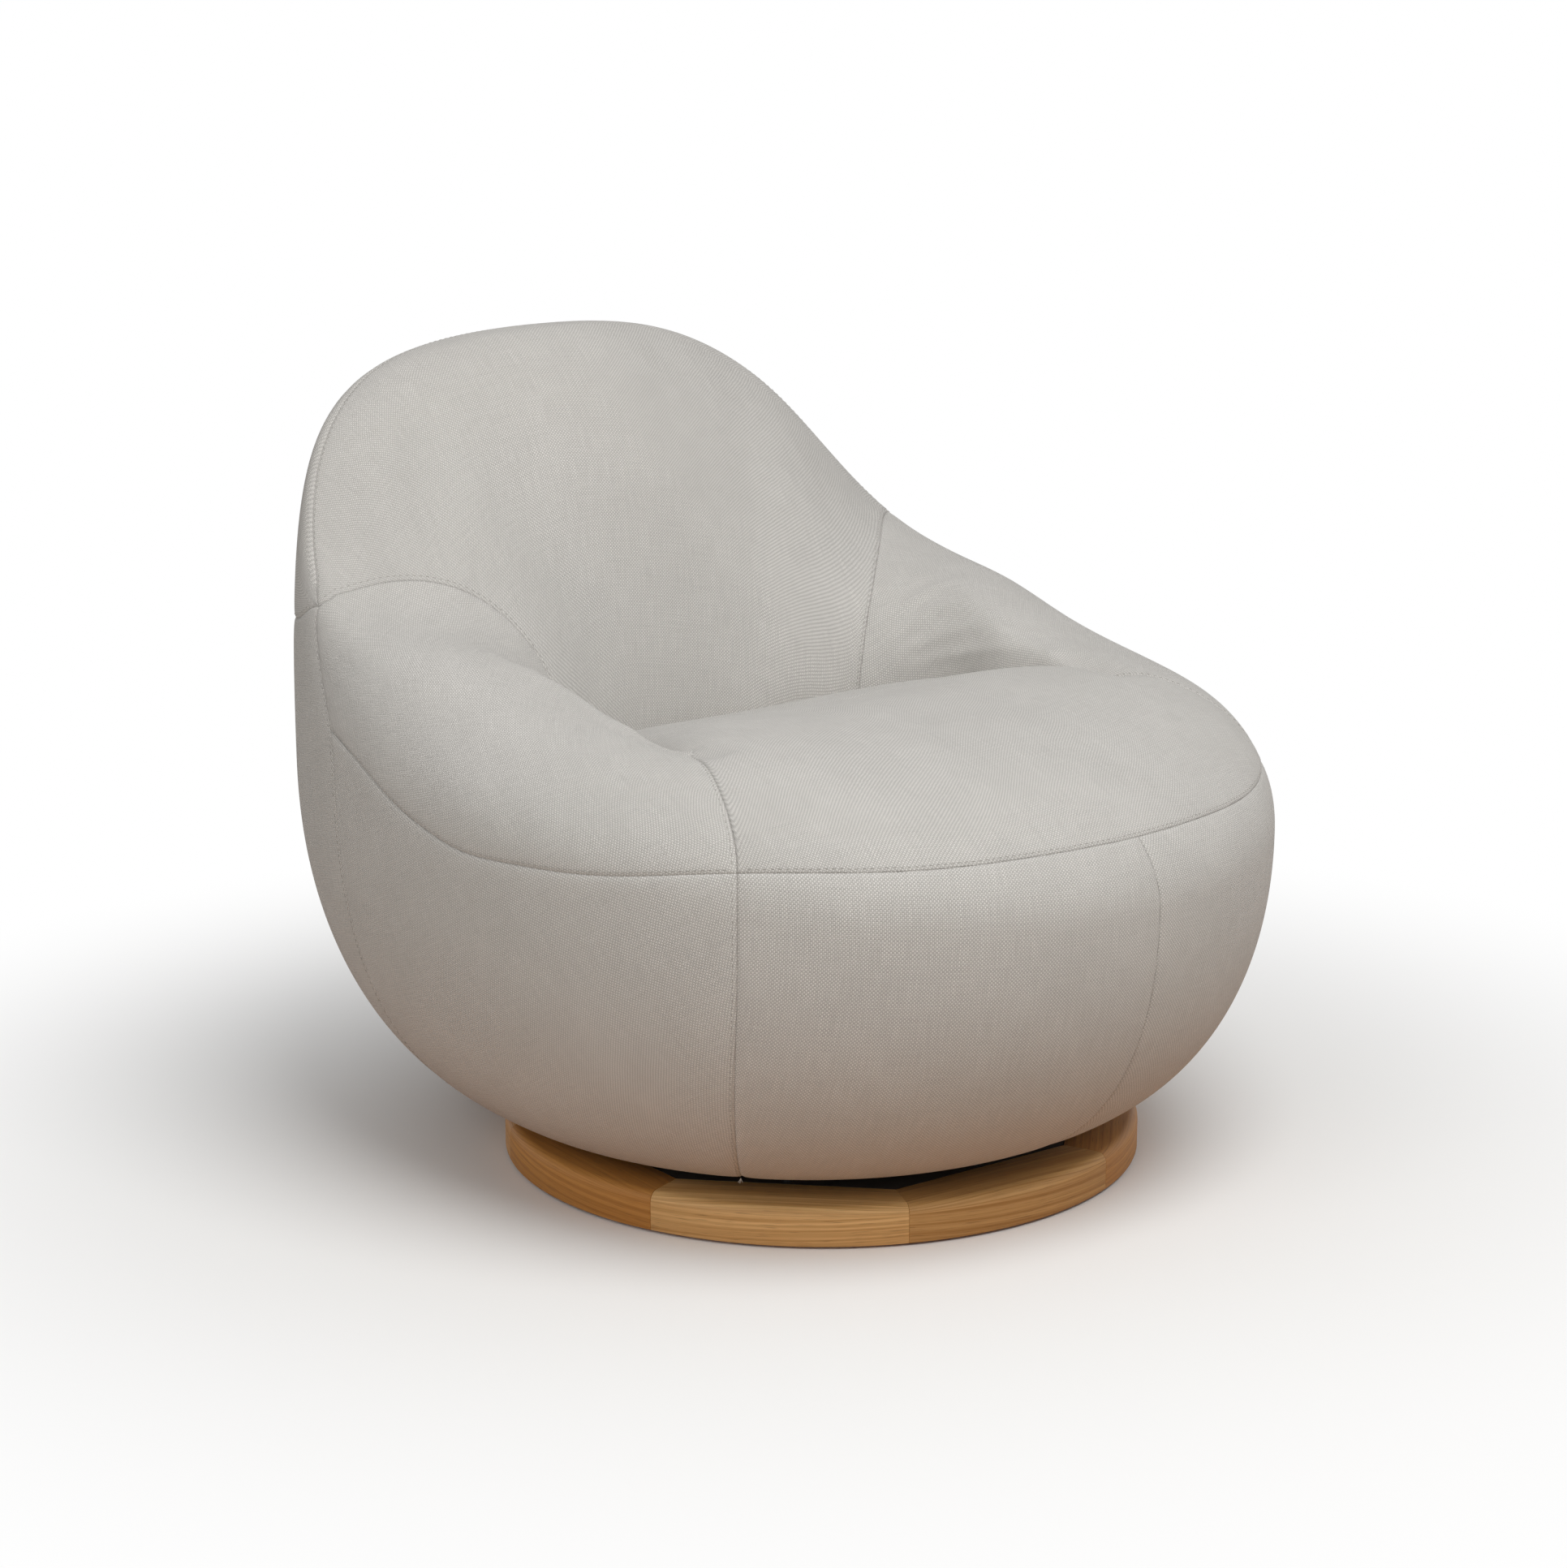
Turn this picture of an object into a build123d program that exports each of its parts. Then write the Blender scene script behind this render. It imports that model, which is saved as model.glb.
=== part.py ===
"""Swivel lounge chair: a rounded upholstered tub on a low wooden ring.

The origin is on the floor, on the swivel axis. +Z is up, the sitter faces -Y and +X is the sitter's left.
All sizes are in millimetres. Angles round the tub are counted from the front, positive towards +X.
"""

import os
from math import cos, degrees, hypot, radians, sin, tan

from build123d import *

os.makedirs("parts", exist_ok=True)

# Tub outline seen from above. Its middle sits behind the swivel axis, so the sitter is over the ring.
BODY_Y = 42
HALF_WIDTH = 400
FRONT_REACH = 440
REAR_REACH = 446
FRONT_FULLNESS = 2.13
REAR_FULLNESS = 2.45

# Lower bowl of the tub
BOWL_FLAT_R = 225
BOWL_FULLNESS = 2.17
TUB_BOTTOM_Z = 44

# Wall of the tub at stations round it: height of the widest point, radius and height of the crest,
# and radius and height of the fold where the inner face meets the seat pad
FRONT_STATIONS = (0, 24)
FRONT_WIDEST_Z = (292, 298)
STATIONS = (48, 65, 90, 115, 140, 180)
WIDEST_Z = (313, 326, 341, 348, 349, 346)
CREST_R = (302, 300, 281, 347, 416, 326)
CREST_Z = (416, 420, 447, 485, 621, 711)
FOLD_R = (284, 274, 250, 212, 170, 146)
FOLD_Z = (401, 397, 379, 354, 339, 334)
SHOULDER_FULLNESS_FRONT = 2.1
SHOULDER_FULLNESS_REAR = 3.3
FACE_FULLNESS = 2.35

# Seams of the cover
BACK_SEAM_ANGLE = 121
BELT_Z = 340
BELT_RISE_START_Y = 70
BELT_REAR_Y = 262
BELT_REAR_Z = 404
REAR_SEAM_Z = 495
CREST_SEAM_X = 305
CREST_SEAM_Y = 372
CREST_SEAM_CORNER_R = 90
CREST_SEAM_LOW_Z = 295
WALL_SKIN_R = 311
WALL_SKIN_LOW_Z = 300
SEAM_GAP = 0.4

# Cover cloth and the foam behind it
COVER_T = 1.6
COVER_CLEAR = 0.4
FOAM_INSET = COVER_T + COVER_CLEAR
CUT_SPARE = 6

# Seat pad: a crowned cushion on a base that slopes down to the back. Its outlines from the base to the top
# have a front radius, a rise at the front edge, a tilt, and an inset at the sides and the back.
PAD_BASE_Z = 346
PAD_FRONT_R = (422, 404, 376, 330, 262, 190)
PAD_RISE = (0, 25, 48, 65, 74, 75)
PAD_TILT = (3, 3.5, 4.2, 5.2, 6.8, 8.5)
PAD_INSET = (0, 1.5, 6, 20, 48, 110)
PAD_SIDE_CLEAR = 4
PAD_CORNER_CLEAR = 0.15
PAD_FOAM_INSET = 2.4
PAD_LIFT = 0.4

# Foam block in the middle, under the pad
CORE_R = 104
CORE_CLEAR = 0.5

# Deck, the board that carries the tub, and the cloth under it
DECK_R = 215
DECK_T = 15
DECK_CLEAR = 0.5
DUST_CLOTH_R = 222
DUST_CLOTH_T = 0.8
DUST_CLOTH_HOLE_R = 136

# Steel hoop that stiffens the back
HOOP_TUBE_R = 11
HOOP_TUBE_WALL = 1.5
HOOP_HALF_W = 120
HOOP_FOOT_Y = 165
HOOP_TOP_Y = 300
HOOP_TOP_Z = 560
HOOP_BEND_R = 75
HOOP_FOOT_L = 64
HOOP_FOOT_W = 38
HOOP_FOOT_T = 3
HOOP_SCREW_OFFSET = 23
HOOP_CLEAR = 0.5

# Wooden ring: segments with straight inner sides, tongues in their joints, and felt underneath
FELT_T = 2
FELT_OUTER_R = 279
FELT_INNER_R = 234
RING_R = 286
RING_H = 34
RING_SIDES = 8
RING_PHASE = 18
RING_APOTHEM = 226
RING_LEDGE = 16
RING_TOP_ROUND = 9
RING_FOOT_ROUND = 2
RING_JOINT_GAP = 0.3
TONGUE_PITCH_R = 260
TONGUE_W = 26
TONGUE_L = 24
TONGUE_T = 6
TONGUE_CLEAR = 0.1

# Base board in the ring
BOARD_T = 18
BOARD_CLEAR = 0.4
BOARD_HOLE_R = 30
BOARD_SCREW_INSET = 8

# Swivel bearing between the base board and the deck
PLATE_R = 130
PLATE_T = 2.5
PLATE_SPACE = 5.5
PLATE_HOLE_R = 2.7
PLATE_SCREWS = 6
LOWER_SCREW_PITCH_R = 104
UPPER_SCREW_PITCH_R = 118
BALL_R = 3.2
BALL_COUNT = 18
BALL_PITCH_R = 85
BALL_CLEAR = 0.05
CAGE_W = 14
CAGE_T = 2
PIN_R = 6
PIN_CLEAR = 0.05
PIN_FLANGE_R = 14
PIN_FLANGE_T = 3
PIN_TAIL_R = 5
PIN_TAIL_L = 14
PIN_END_PLAY = 0.1
WASHER_R = 13
WASHER_T = 2
NUT_FLATS = 17
NUT_H = 8
NUT_CLEAR = 0.1

# Screws
SCREW_R = 2.4
SCREW_HEAD_R = 4.6
SCREW_HEAD_H = 2.4
SCREW_L = 13
SCREW_CLEAR = 0.1
BOARD_SCREW_L = 28

# Heights that follow from the sizes above
DECK_Z = TUB_BOTTOM_Z + FOAM_INSET
DECK_TOP_Z = DECK_Z + DECK_T
UPPER_PLATE_Z = DECK_Z - PLATE_T
LOWER_PLATE_Z = UPPER_PLATE_Z - PLATE_SPACE - PLATE_T
BALL_Z = UPPER_PLATE_Z - PLATE_SPACE / 2
BOARD_TOP_Z = LOWER_PLATE_Z
BOARD_Z = BOARD_TOP_Z - BOARD_T
RING_Z = FELT_T
RING_TOP_Z = RING_Z + RING_H
FOOT_TOP_Z = DECK_TOP_Z + HOOP_FOOT_T
SEAM_ANGLE = STATIONS[0]
FAR = 900

UP = (Align.CENTER, Align.CENTER, Align.MIN)
DOWN = (Align.CENTER, Align.CENTER, Align.MAX)


def plan_radius(angle):
    """Radius of the tub's widest outline at an angle from the front."""
    side = abs(sin(radians(angle)))
    ahead = cos(radians(angle))
    reach = FRONT_REACH if ahead > 0 else REAR_REACH
    full = FRONT_FULLNESS if ahead > 0 else REAR_FULLNESS
    return ((side / HALF_WIDTH) ** full + (abs(ahead) / reach) ** full) ** (-1 / full)


def spot(radius, angle):
    """Point of the plan at a radius and an angle from the tub's middle."""
    return (radius * sin(radians(angle)), BODY_Y - radius * cos(radians(angle)))


def base_z(radius, angle):
    """Height of the sloping base of the seat pad."""
    behind_front = PAD_FRONT_R[0] - radius * cos(radians(angle))
    return PAD_BASE_Z - behind_front * tan(radians(PAD_TILT[0]))


def wall_plane(angle):
    """Upright plane through the tub's middle: x runs outwards, y runs up."""
    outwards = (sin(radians(angle)), -cos(radians(angle)), 0)
    across = (-cos(radians(angle)), -sin(radians(angle)), 0)
    return Plane(origin=(0, BODY_Y, 0), x_dir=outwards, z_dir=across)


def quarter(start, end, fullness, level_first):
    """Five points on a quarter oval from start to end, which leaves start level or upright."""
    points = []
    for step in (0, 22.5, 45, 67.5, 90):
        near = 1 - max(cos(radians(step)), 0) ** (2 / fullness)
        far = sin(radians(step)) ** (2 / fullness)
        run, rise = (far, near) if level_first else (near, far)
        points.append((start[0] + (end[0] - start[0]) * run, start[1] + (end[1] - start[1]) * rise))
    return points


def hidden_side(top, fold_r, angle, inset, cutting):
    """Points from the end of the covered surface down the hidden side to the foot of the bowl.

    The cutting copy runs past the hidden side, so that only the cover's skin is left by it."""
    spare = CUT_SPARE if cutting else 0
    middle_r = CORE_R - CUT_SPARE - spare
    foot_z = TUB_BOTTOM_Z + inset
    points = [
        top,
        (fold_r, base_z(fold_r, angle) + spare),
        (middle_r, base_z(middle_r, angle) + spare),
        (middle_r, foot_z - spare),
    ]
    if cutting:
        points.append((BOWL_FLAT_R, foot_z - spare))
    return points + [(BOWL_FLAT_R, foot_z)]


def tub_section(angle, index, inset=0, cutting=False):
    """Profile of the tub's wall, with its crest and inner face, at one of the stations."""
    turn = (1 - cos(radians(angle))) / 2
    shoulder = SHOULDER_FULLNESS_FRONT + (SHOULDER_FULLNESS_REAR - SHOULDER_FULLNESS_FRONT) * turn
    foot = (BOWL_FLAT_R, TUB_BOTTOM_Z + inset)
    widest = (plan_radius(angle) - inset, WIDEST_Z[index])
    crest = (CREST_R[index], CREST_Z[index] - inset)
    fold = (FOLD_R[index] + inset, FOLD_Z[index])
    runs = (
        quarter(foot, widest, BOWL_FULLNESS, True),
        quarter(widest, crest, shoulder, False),
        quarter(crest, fold, FACE_FULLNESS, True),
    )
    with BuildSketch(wall_plane(angle), mode=Mode.PRIVATE) as profile:
        with BuildLine():
            for run in runs:
                ThreePointArc(run[0], run[1], run[2])
                ThreePointArc(run[2], run[3], run[4])
            Polyline(*hidden_side(fold, fold[0], angle, inset, cutting))
        make_face()
    return profile.sketch


def front_section(angle, widest_z, inset=0, cutting=False):
    """Profile of the front wall, which ends under the seat pad."""
    foot = (BOWL_FLAT_R, TUB_BOTTOM_Z + inset)
    widest = (plan_radius(angle) - inset, widest_z)
    edge_r = PAD_FRONT_R[0] - inset
    edge = (edge_r, base_z(PAD_FRONT_R[0], angle))
    run = quarter(foot, widest, BOWL_FULLNESS, True)
    with BuildSketch(wall_plane(angle), mode=Mode.PRIVATE) as profile:
        with BuildLine():
            ThreePointArc(run[0], run[1], run[2])
            ThreePointArc(run[2], run[3], run[4])
            TangentArc(widest, edge, tangent=(0, 1))
            side = hidden_side(edge, edge_r, angle, inset, cutting)
            Polyline(*(side if cutting else [edge] + side[2:]))
        make_face()
    return profile.sketch


def all_round(inset=0, cutting=False):
    """Profiles from the front seam round the back to the other front seam."""
    left = [(a + (SEAM_ANGLE_GAP if i == 0 else 0), i) for i, a in enumerate(STATIONS)]
    right = [(360 - a, i) for a, i in reversed(left[:-1])]
    return [tub_section(a, i, inset, cutting) for a, i in left + right]


def across_front(inset=0, cutting=False):
    """Profiles from one front seam across the front to the other."""
    left = list(zip(FRONT_STATIONS, FRONT_WIDEST_Z)) + [(SEAM_ANGLE - SEAM_ANGLE_GAP, WIDEST_Z[0])]
    right = [(-a, z) for a, z in reversed(left[1:])]
    return [front_section(a, z, inset, cutting) for a, z in right + left]


def pad_outline(level, inset=0, drop=0):
    """Outline of the seat pad at one level, on its own tilted plane."""
    tilt = radians(PAD_TILT[level])
    front_r = PAD_FRONT_R[level] - inset
    front_z = PAD_BASE_Z + PAD_LIFT + PAD_RISE[level] - drop
    plane = Plane(
        origin=(0, BODY_Y - PAD_FRONT_R[level], front_z), x_dir=(1, 0, 0), z_dir=(0, sin(tilt), cos(tilt))
    )
    shrink = PAD_INSET[level] + PAD_SIDE_CLEAR + inset
    corner_angle = SEAM_ANGLE - PAD_CORNER_CLEAR - degrees(inset / front_r)

    def at(radius, angle):
        x, y = spot(radius, angle)
        return (x, (y - BODY_Y + PAD_FRONT_R[level]) / cos(tilt))

    side = [at(FOLD_R[0] - shrink, corner_angle)]
    side += [at(r - shrink, a) for r, a in zip(FOLD_R[1:], STATIONS[1:])]
    other = [(-x, y) for x, y in side]
    front = [at(front_r, -corner_angle), at(front_r, 0), at(front_r, corner_angle)]
    with BuildSketch(plane, mode=Mode.PRIVATE) as outline:
        with BuildLine():
            ThreePointArc(front[0], front[1], front[2])
            Line(front[2], side[0])
            ThreePointArc(side[0], side[1], side[2])
            ThreePointArc(side[2], side[3], side[4])
            ThreePointArc(side[4], side[5], other[4])
            ThreePointArc(other[4], other[3], other[2])
            ThreePointArc(other[2], other[1], other[0])
            Line(other[0], front[0])
        make_face()
    return outline.sketch


def wedge(start, end):
    """Plan of a slice of the tub between two angles from the front."""
    middle = (start + end) / 2
    with BuildSketch(mode=Mode.PRIVATE) as slice_plan:
        with BuildLine():
            Polyline(
                (0, BODY_Y), spot(2 * FAR, start), spot(2 * FAR, middle), spot(2 * FAR, end), (0, BODY_Y)
            )
        make_face()
    return slice_plan.sketch


def below_belt(gap):
    """Side view of everything under the belt seam, lowered or raised by a gap."""
    slope = (BELT_REAR_Z - BELT_Z) / (BELT_REAR_Y - BELT_RISE_START_Y)
    with BuildSketch(Plane.YZ, mode=Mode.PRIVATE) as side_view:
        with BuildLine():
            Polyline(
                (-FAR, -FAR),
                (FAR, -FAR),
                (FAR, BELT_Z + slope * (FAR - BELT_RISE_START_Y) + gap),
                (BELT_RISE_START_Y, BELT_Z + gap),
                (-FAR, BELT_Z + gap),
                (-FAR, -FAR),
            )
        make_face()
    return side_view.sketch


def inside_crest(gap):
    """Plan of what lies inside the seam along the top of the back, from under the fold up."""
    with BuildSketch(Plane.XY.offset(CREST_SEAM_LOW_Z), mode=Mode.PRIVATE) as plan:
        with Locations((0, CREST_SEAM_Y - FAR / 2)):
            RectangleRounded(2 * CREST_SEAM_X + 2 * gap, FAR + 2 * gap, CREST_SEAM_CORNER_R + gap)
    return plan.sketch


def under_belt_block(gap):
    """Solid under the belt seam that leaves out the wall beside the seat pad."""
    with BuildPart(mode=Mode.PRIVATE) as block:
        extrude(below_belt(gap), amount=FAR, both=True)
        with Locations((0, BODY_Y, WALL_SKIN_LOW_Z)):
            Cylinder(WALL_SKIN_R, FAR, align=UP, mode=Mode.SUBTRACT)
    return block.part


def ring_corner(index):
    """Angle from +X of one joint of the wooden ring."""
    return RING_PHASE + 360 / RING_SIDES * index


SEAM_ANGLE_GAP = degrees(SEAM_GAP / 2 / plan_radius(SEAM_ANGLE))
BACK_GAP_ANGLE = degrees(SEAM_GAP / 2 / FOLD_R[3])
ARM_EDGE_ANGLE = BACK_SEAM_ANGLE - BACK_GAP_ANGLE
BACK_EDGE_ANGLE = BACK_SEAM_ANGLE + BACK_GAP_ANGLE

# Felt under the ring, the flat face on which the chair stands
with BuildPart() as felt_ring:
    with BuildSketch():
        Circle(FELT_OUTER_R)
        Circle(FELT_INNER_R, mode=Mode.SUBTRACT)
    extrude(amount=FELT_T)

# The wooden ring in one, with a ledge for the base board and a soft outer edge
with BuildPart() as whole_ring:
    with BuildSketch(Plane.XY.offset(RING_Z)):
        Circle(RING_R)
        RegularPolygon(
            RING_APOTHEM - RING_LEDGE, RING_SIDES, major_radius=False, rotation=RING_PHASE, mode=Mode.SUBTRACT
        )
    extrude(amount=BOARD_Z - RING_Z)
    with BuildSketch(Plane.XY.offset(BOARD_Z)):
        Circle(RING_R)
        RegularPolygon(RING_APOTHEM, RING_SIDES, major_radius=False, rotation=RING_PHASE, mode=Mode.SUBTRACT)
    extrude(amount=RING_TOP_Z - BOARD_Z)
    rims = whole_ring.edges().filter_by(GeomType.CIRCLE).filter_by(lambda e: e.radius > RING_R - 1)
    fillet(rims.sort_by(Axis.Z)[-1], radius=RING_TOP_ROUND)
    rims = whole_ring.edges().filter_by(GeomType.CIRCLE).filter_by(lambda e: e.radius > RING_R - 1)
    fillet(rims.sort_by(Axis.Z)[0], radius=RING_FOOT_ROUND)

# Loose tongues, half in each of two neighbouring segments
with BuildPart(Plane.XY.offset((RING_Z + RING_TOP_Z) / 2)) as segment_tongues:
    with PolarLocations(TONGUE_PITCH_R, RING_SIDES, start_angle=RING_PHASE):
        Box(TONGUE_W, TONGUE_L, TONGUE_T)

SCREW_PITCH_R = RING_APOTHEM - BOARD_SCREW_INSET
SCREW_PHASE = RING_PHASE + 180 / RING_SIDES

# Ring segments, each cut out between two joints
segments = []
for number in range(RING_SIDES):
    first = radians(ring_corner(number))
    second = radians(ring_corner(number + 1))
    with BuildPart() as segment:
        add(whole_ring.part)
        with BuildSketch() as slice_plan:
            with BuildLine():
                Polyline(
                    (0, 0),
                    (FAR * cos(first), FAR * sin(first)),
                    (FAR * cos(second), FAR * sin(second)),
                    (0, 0),
                )
            make_face()
            offset(amount=-RING_JOINT_GAP / 2, kind=Kind.INTERSECTION, mode=Mode.REPLACE)
        extrude(amount=FAR, mode=Mode.INTERSECT)
        with BuildSketch(Plane.XY.offset((RING_Z + RING_TOP_Z - TONGUE_T) / 2 - TONGUE_CLEAR)):
            with PolarLocations(TONGUE_PITCH_R, RING_SIDES, start_angle=RING_PHASE):
                Rectangle(TONGUE_W + 2 * TONGUE_CLEAR, TONGUE_L + 2 * TONGUE_CLEAR)
        extrude(amount=TONGUE_T + 2 * TONGUE_CLEAR, mode=Mode.SUBTRACT)
        with BuildSketch(Plane.XY.offset(BOARD_Z)):
            with PolarLocations(SCREW_PITCH_R, RING_SIDES, start_angle=SCREW_PHASE):
                Circle(SCREW_R + SCREW_CLEAR)
        extrude(amount=-(BOARD_SCREW_L - BOARD_T + 1), mode=Mode.SUBTRACT)
    segments.append(segment.part)

# Base board: an octagon that drops onto the ring's ledge
with BuildPart(Plane.XY.offset(BOARD_Z)) as base_board:
    with BuildSketch(Plane.XY.offset(BOARD_Z)):
        RegularPolygon(RING_APOTHEM - BOARD_CLEAR, RING_SIDES, major_radius=False, rotation=RING_PHASE)
        Circle(BOARD_HOLE_R, mode=Mode.SUBTRACT)
        with PolarLocations(SCREW_PITCH_R, RING_SIDES, start_angle=SCREW_PHASE):
            Circle(SCREW_R + SCREW_CLEAR, mode=Mode.SUBTRACT)
        with PolarLocations(LOWER_SCREW_PITCH_R, PLATE_SCREWS):
            Circle(SCREW_R + SCREW_CLEAR, mode=Mode.SUBTRACT)
    extrude(amount=BOARD_T)

with BuildPart(Plane.XY.offset(BOARD_TOP_Z)) as base_board_screws:
    with PolarLocations(SCREW_PITCH_R, RING_SIDES, start_angle=SCREW_PHASE):
        Cylinder(SCREW_R, BOARD_SCREW_L, align=DOWN)
        Cylinder(SCREW_HEAD_R, SCREW_HEAD_H, align=UP)

# Lower swivel plate with its ball track
with BuildPart(Plane.XY.offset(LOWER_PLATE_Z)) as swivel_lower_plate:
    Cylinder(PLATE_R, PLATE_T, align=UP)
    Hole(PIN_R + PIN_CLEAR)
    with PolarLocations(LOWER_SCREW_PITCH_R, PLATE_SCREWS):
        Hole(PLATE_HOLE_R)
    with BuildSketch(Plane.XZ):
        with Locations((BALL_PITCH_R, BALL_Z)):
            Circle(BALL_R + BALL_CLEAR)
    revolve(axis=Axis.Z, mode=Mode.SUBTRACT)

with BuildPart(Plane.XY.offset(LOWER_PLATE_Z + PLATE_T)) as lower_plate_screws:
    with PolarLocations(LOWER_SCREW_PITCH_R, PLATE_SCREWS):
        Cylinder(SCREW_R, SCREW_L, align=DOWN)
        Cylinder(SCREW_HEAD_R, SCREW_HEAD_H, align=UP)

# Balls and the cage that spaces them
with BuildPart(Plane.XY.offset(BALL_Z)) as bearing_balls:
    with PolarLocations(BALL_PITCH_R, BALL_COUNT):
        Sphere(BALL_R)

with BuildPart(Plane.XY.offset(BALL_Z)) as ball_cage:
    Cylinder(BALL_PITCH_R + CAGE_W / 2, CAGE_T)
    Cylinder(BALL_PITCH_R - CAGE_W / 2, CAGE_T, mode=Mode.SUBTRACT)
    with PolarLocations(BALL_PITCH_R, BALL_COUNT):
        Hole(BALL_R + BALL_CLEAR)

# Upper swivel plate, its screws and the pin on which it turns
with BuildPart(Plane.XY.offset(UPPER_PLATE_Z)) as swivel_upper_plate:
    Cylinder(PLATE_R, PLATE_T, align=UP)
    Hole(PIN_R + PIN_CLEAR)
    with PolarLocations(UPPER_SCREW_PITCH_R, PLATE_SCREWS):
        Hole(PLATE_HOLE_R)
    with BuildSketch(Plane.XZ):
        with Locations((BALL_PITCH_R, BALL_Z)):
            Circle(BALL_R + BALL_CLEAR)
    revolve(axis=Axis.Z, mode=Mode.SUBTRACT)

with BuildPart(Plane.XY.offset(UPPER_PLATE_Z)) as upper_plate_screws:
    with PolarLocations(UPPER_SCREW_PITCH_R, PLATE_SCREWS):
        Cylinder(SCREW_R, SCREW_L, align=UP)
        Cylinder(SCREW_HEAD_R, SCREW_HEAD_H, align=DOWN)

PIN_SHOULDER_Z = LOWER_PLATE_Z - PIN_END_PLAY

with BuildPart(Plane.XY.offset(DECK_Z)) as pivot_pin:
    Cylinder(PIN_FLANGE_R, PIN_FLANGE_T, align=UP)
    Cylinder(PIN_R, DECK_Z - PIN_SHOULDER_Z, align=DOWN)
    Cylinder(PIN_TAIL_R, DECK_Z - PIN_SHOULDER_Z + PIN_TAIL_L, align=DOWN)
    chamfer(pivot_pin.edges().sort_by(Axis.Z)[0], length=1)

with BuildPart(Plane.XY.offset(PIN_SHOULDER_Z)) as pivot_washer:
    Cylinder(WASHER_R, WASHER_T, align=DOWN)
    Hole(PIN_TAIL_R + NUT_CLEAR)

with BuildPart() as pivot_nut:
    with BuildSketch(Plane.XY.offset(PIN_SHOULDER_Z - WASHER_T)):
        RegularPolygon(NUT_FLATS / 2, 6, major_radius=False)
        Circle(PIN_TAIL_R + NUT_CLEAR, mode=Mode.SUBTRACT)
    extrude(amount=-NUT_H)

HOOP_SCREW_SPOTS = [
    (side * HOOP_HALF_W + step * HOOP_SCREW_OFFSET, HOOP_FOOT_Y) for side in (-1, 1) for step in (-1, 1)
]

# Deck under the tub, with holes for the bearing's screws and pin and for the hoop's feet
with BuildPart(Plane.XY.offset(DECK_Z)) as seat_deck:
    with Locations((0, BODY_Y)):
        Cylinder(DECK_R, DECK_T, align=UP)
    with BuildSketch(Plane.XY.offset(DECK_Z)):
        with PolarLocations(UPPER_SCREW_PITCH_R, PLATE_SCREWS):
            Circle(SCREW_R + SCREW_CLEAR)
    extrude(amount=SCREW_L - PLATE_T + 0.5, mode=Mode.SUBTRACT)
    with BuildSketch(Plane.XY.offset(DECK_Z)):
        Circle(PIN_FLANGE_R + DECK_CLEAR)
    extrude(amount=PIN_FLANGE_T + DECK_CLEAR, mode=Mode.SUBTRACT)
    with BuildSketch(Plane.XY.offset(DECK_TOP_Z)):
        with Locations(*HOOP_SCREW_SPOTS):
            Circle(SCREW_R + SCREW_CLEAR)
    extrude(amount=-(SCREW_L - HOOP_FOOT_T + 0.5), mode=Mode.SUBTRACT)

with BuildPart() as dust_cloth:
    with BuildSketch(Plane.XY.offset(DECK_Z)):
        with Locations((0, BODY_Y)):
            Circle(DUST_CLOTH_R)
        Circle(DUST_CLOTH_HOLE_R, mode=Mode.SUBTRACT)
    extrude(amount=-DUST_CLOTH_T)

# Hoop of bent tube in the back, leaning back from its feet on the deck
HOOP_LEAN = hypot(HOOP_TOP_Y - HOOP_FOOT_Y, HOOP_TOP_Z - FOOT_TOP_Z)
HOOP_PLANE = Plane(
    origin=(0, HOOP_FOOT_Y, FOOT_TOP_Z),
    x_dir=(1, 0, 0),
    z_dir=(0, FOOT_TOP_Z - HOOP_TOP_Z, HOOP_TOP_Y - HOOP_FOOT_Y),
)
HOOP_SPARE = HOOP_TUBE_R

with BuildLine(HOOP_PLANE) as hoop_route:
    straight = Line((-HOOP_HALF_W, -HOOP_SPARE), (-HOOP_HALF_W, HOOP_LEAN - HOOP_BEND_R))
    bend = RadiusArc(straight @ 1, (HOOP_BEND_R - HOOP_HALF_W, HOOP_LEAN), HOOP_BEND_R)
    across = Line(bend @ 1, (HOOP_HALF_W - HOOP_BEND_R, HOOP_LEAN))
    other_bend = RadiusArc(across @ 1, (HOOP_HALF_W, HOOP_LEAN - HOOP_BEND_R), HOOP_BEND_R)
    Line(other_bend @ 1, (HOOP_HALF_W, -HOOP_SPARE))
HOOP_START = Plane(origin=hoop_route.line @ 0, z_dir=hoop_route.line % 0)

with BuildPart() as back_hoop:
    with BuildSketch(HOOP_START):
        Circle(HOOP_TUBE_R)
        Circle(HOOP_TUBE_R - HOOP_TUBE_WALL, mode=Mode.SUBTRACT)
    sweep(path=hoop_route.line)
    split(bisect_by=Plane.XY.offset(FOOT_TOP_Z), keep=Keep.TOP)

with BuildPart() as hoop_channel:
    with BuildSketch(HOOP_START):
        Circle(HOOP_TUBE_R + HOOP_CLEAR)
    sweep(path=hoop_route.line)
    with BuildSketch(Plane.XY.offset(DECK_Z)):
        with Locations((-HOOP_HALF_W, HOOP_FOOT_Y), (HOOP_HALF_W, HOOP_FOOT_Y)):
            Rectangle(HOOP_FOOT_L + 2 * HOOP_CLEAR, HOOP_FOOT_W + 2 * HOOP_CLEAR)
    extrude(amount=FOOT_TOP_Z - DECK_Z + SCREW_HEAD_H + HOOP_CLEAR)

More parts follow.
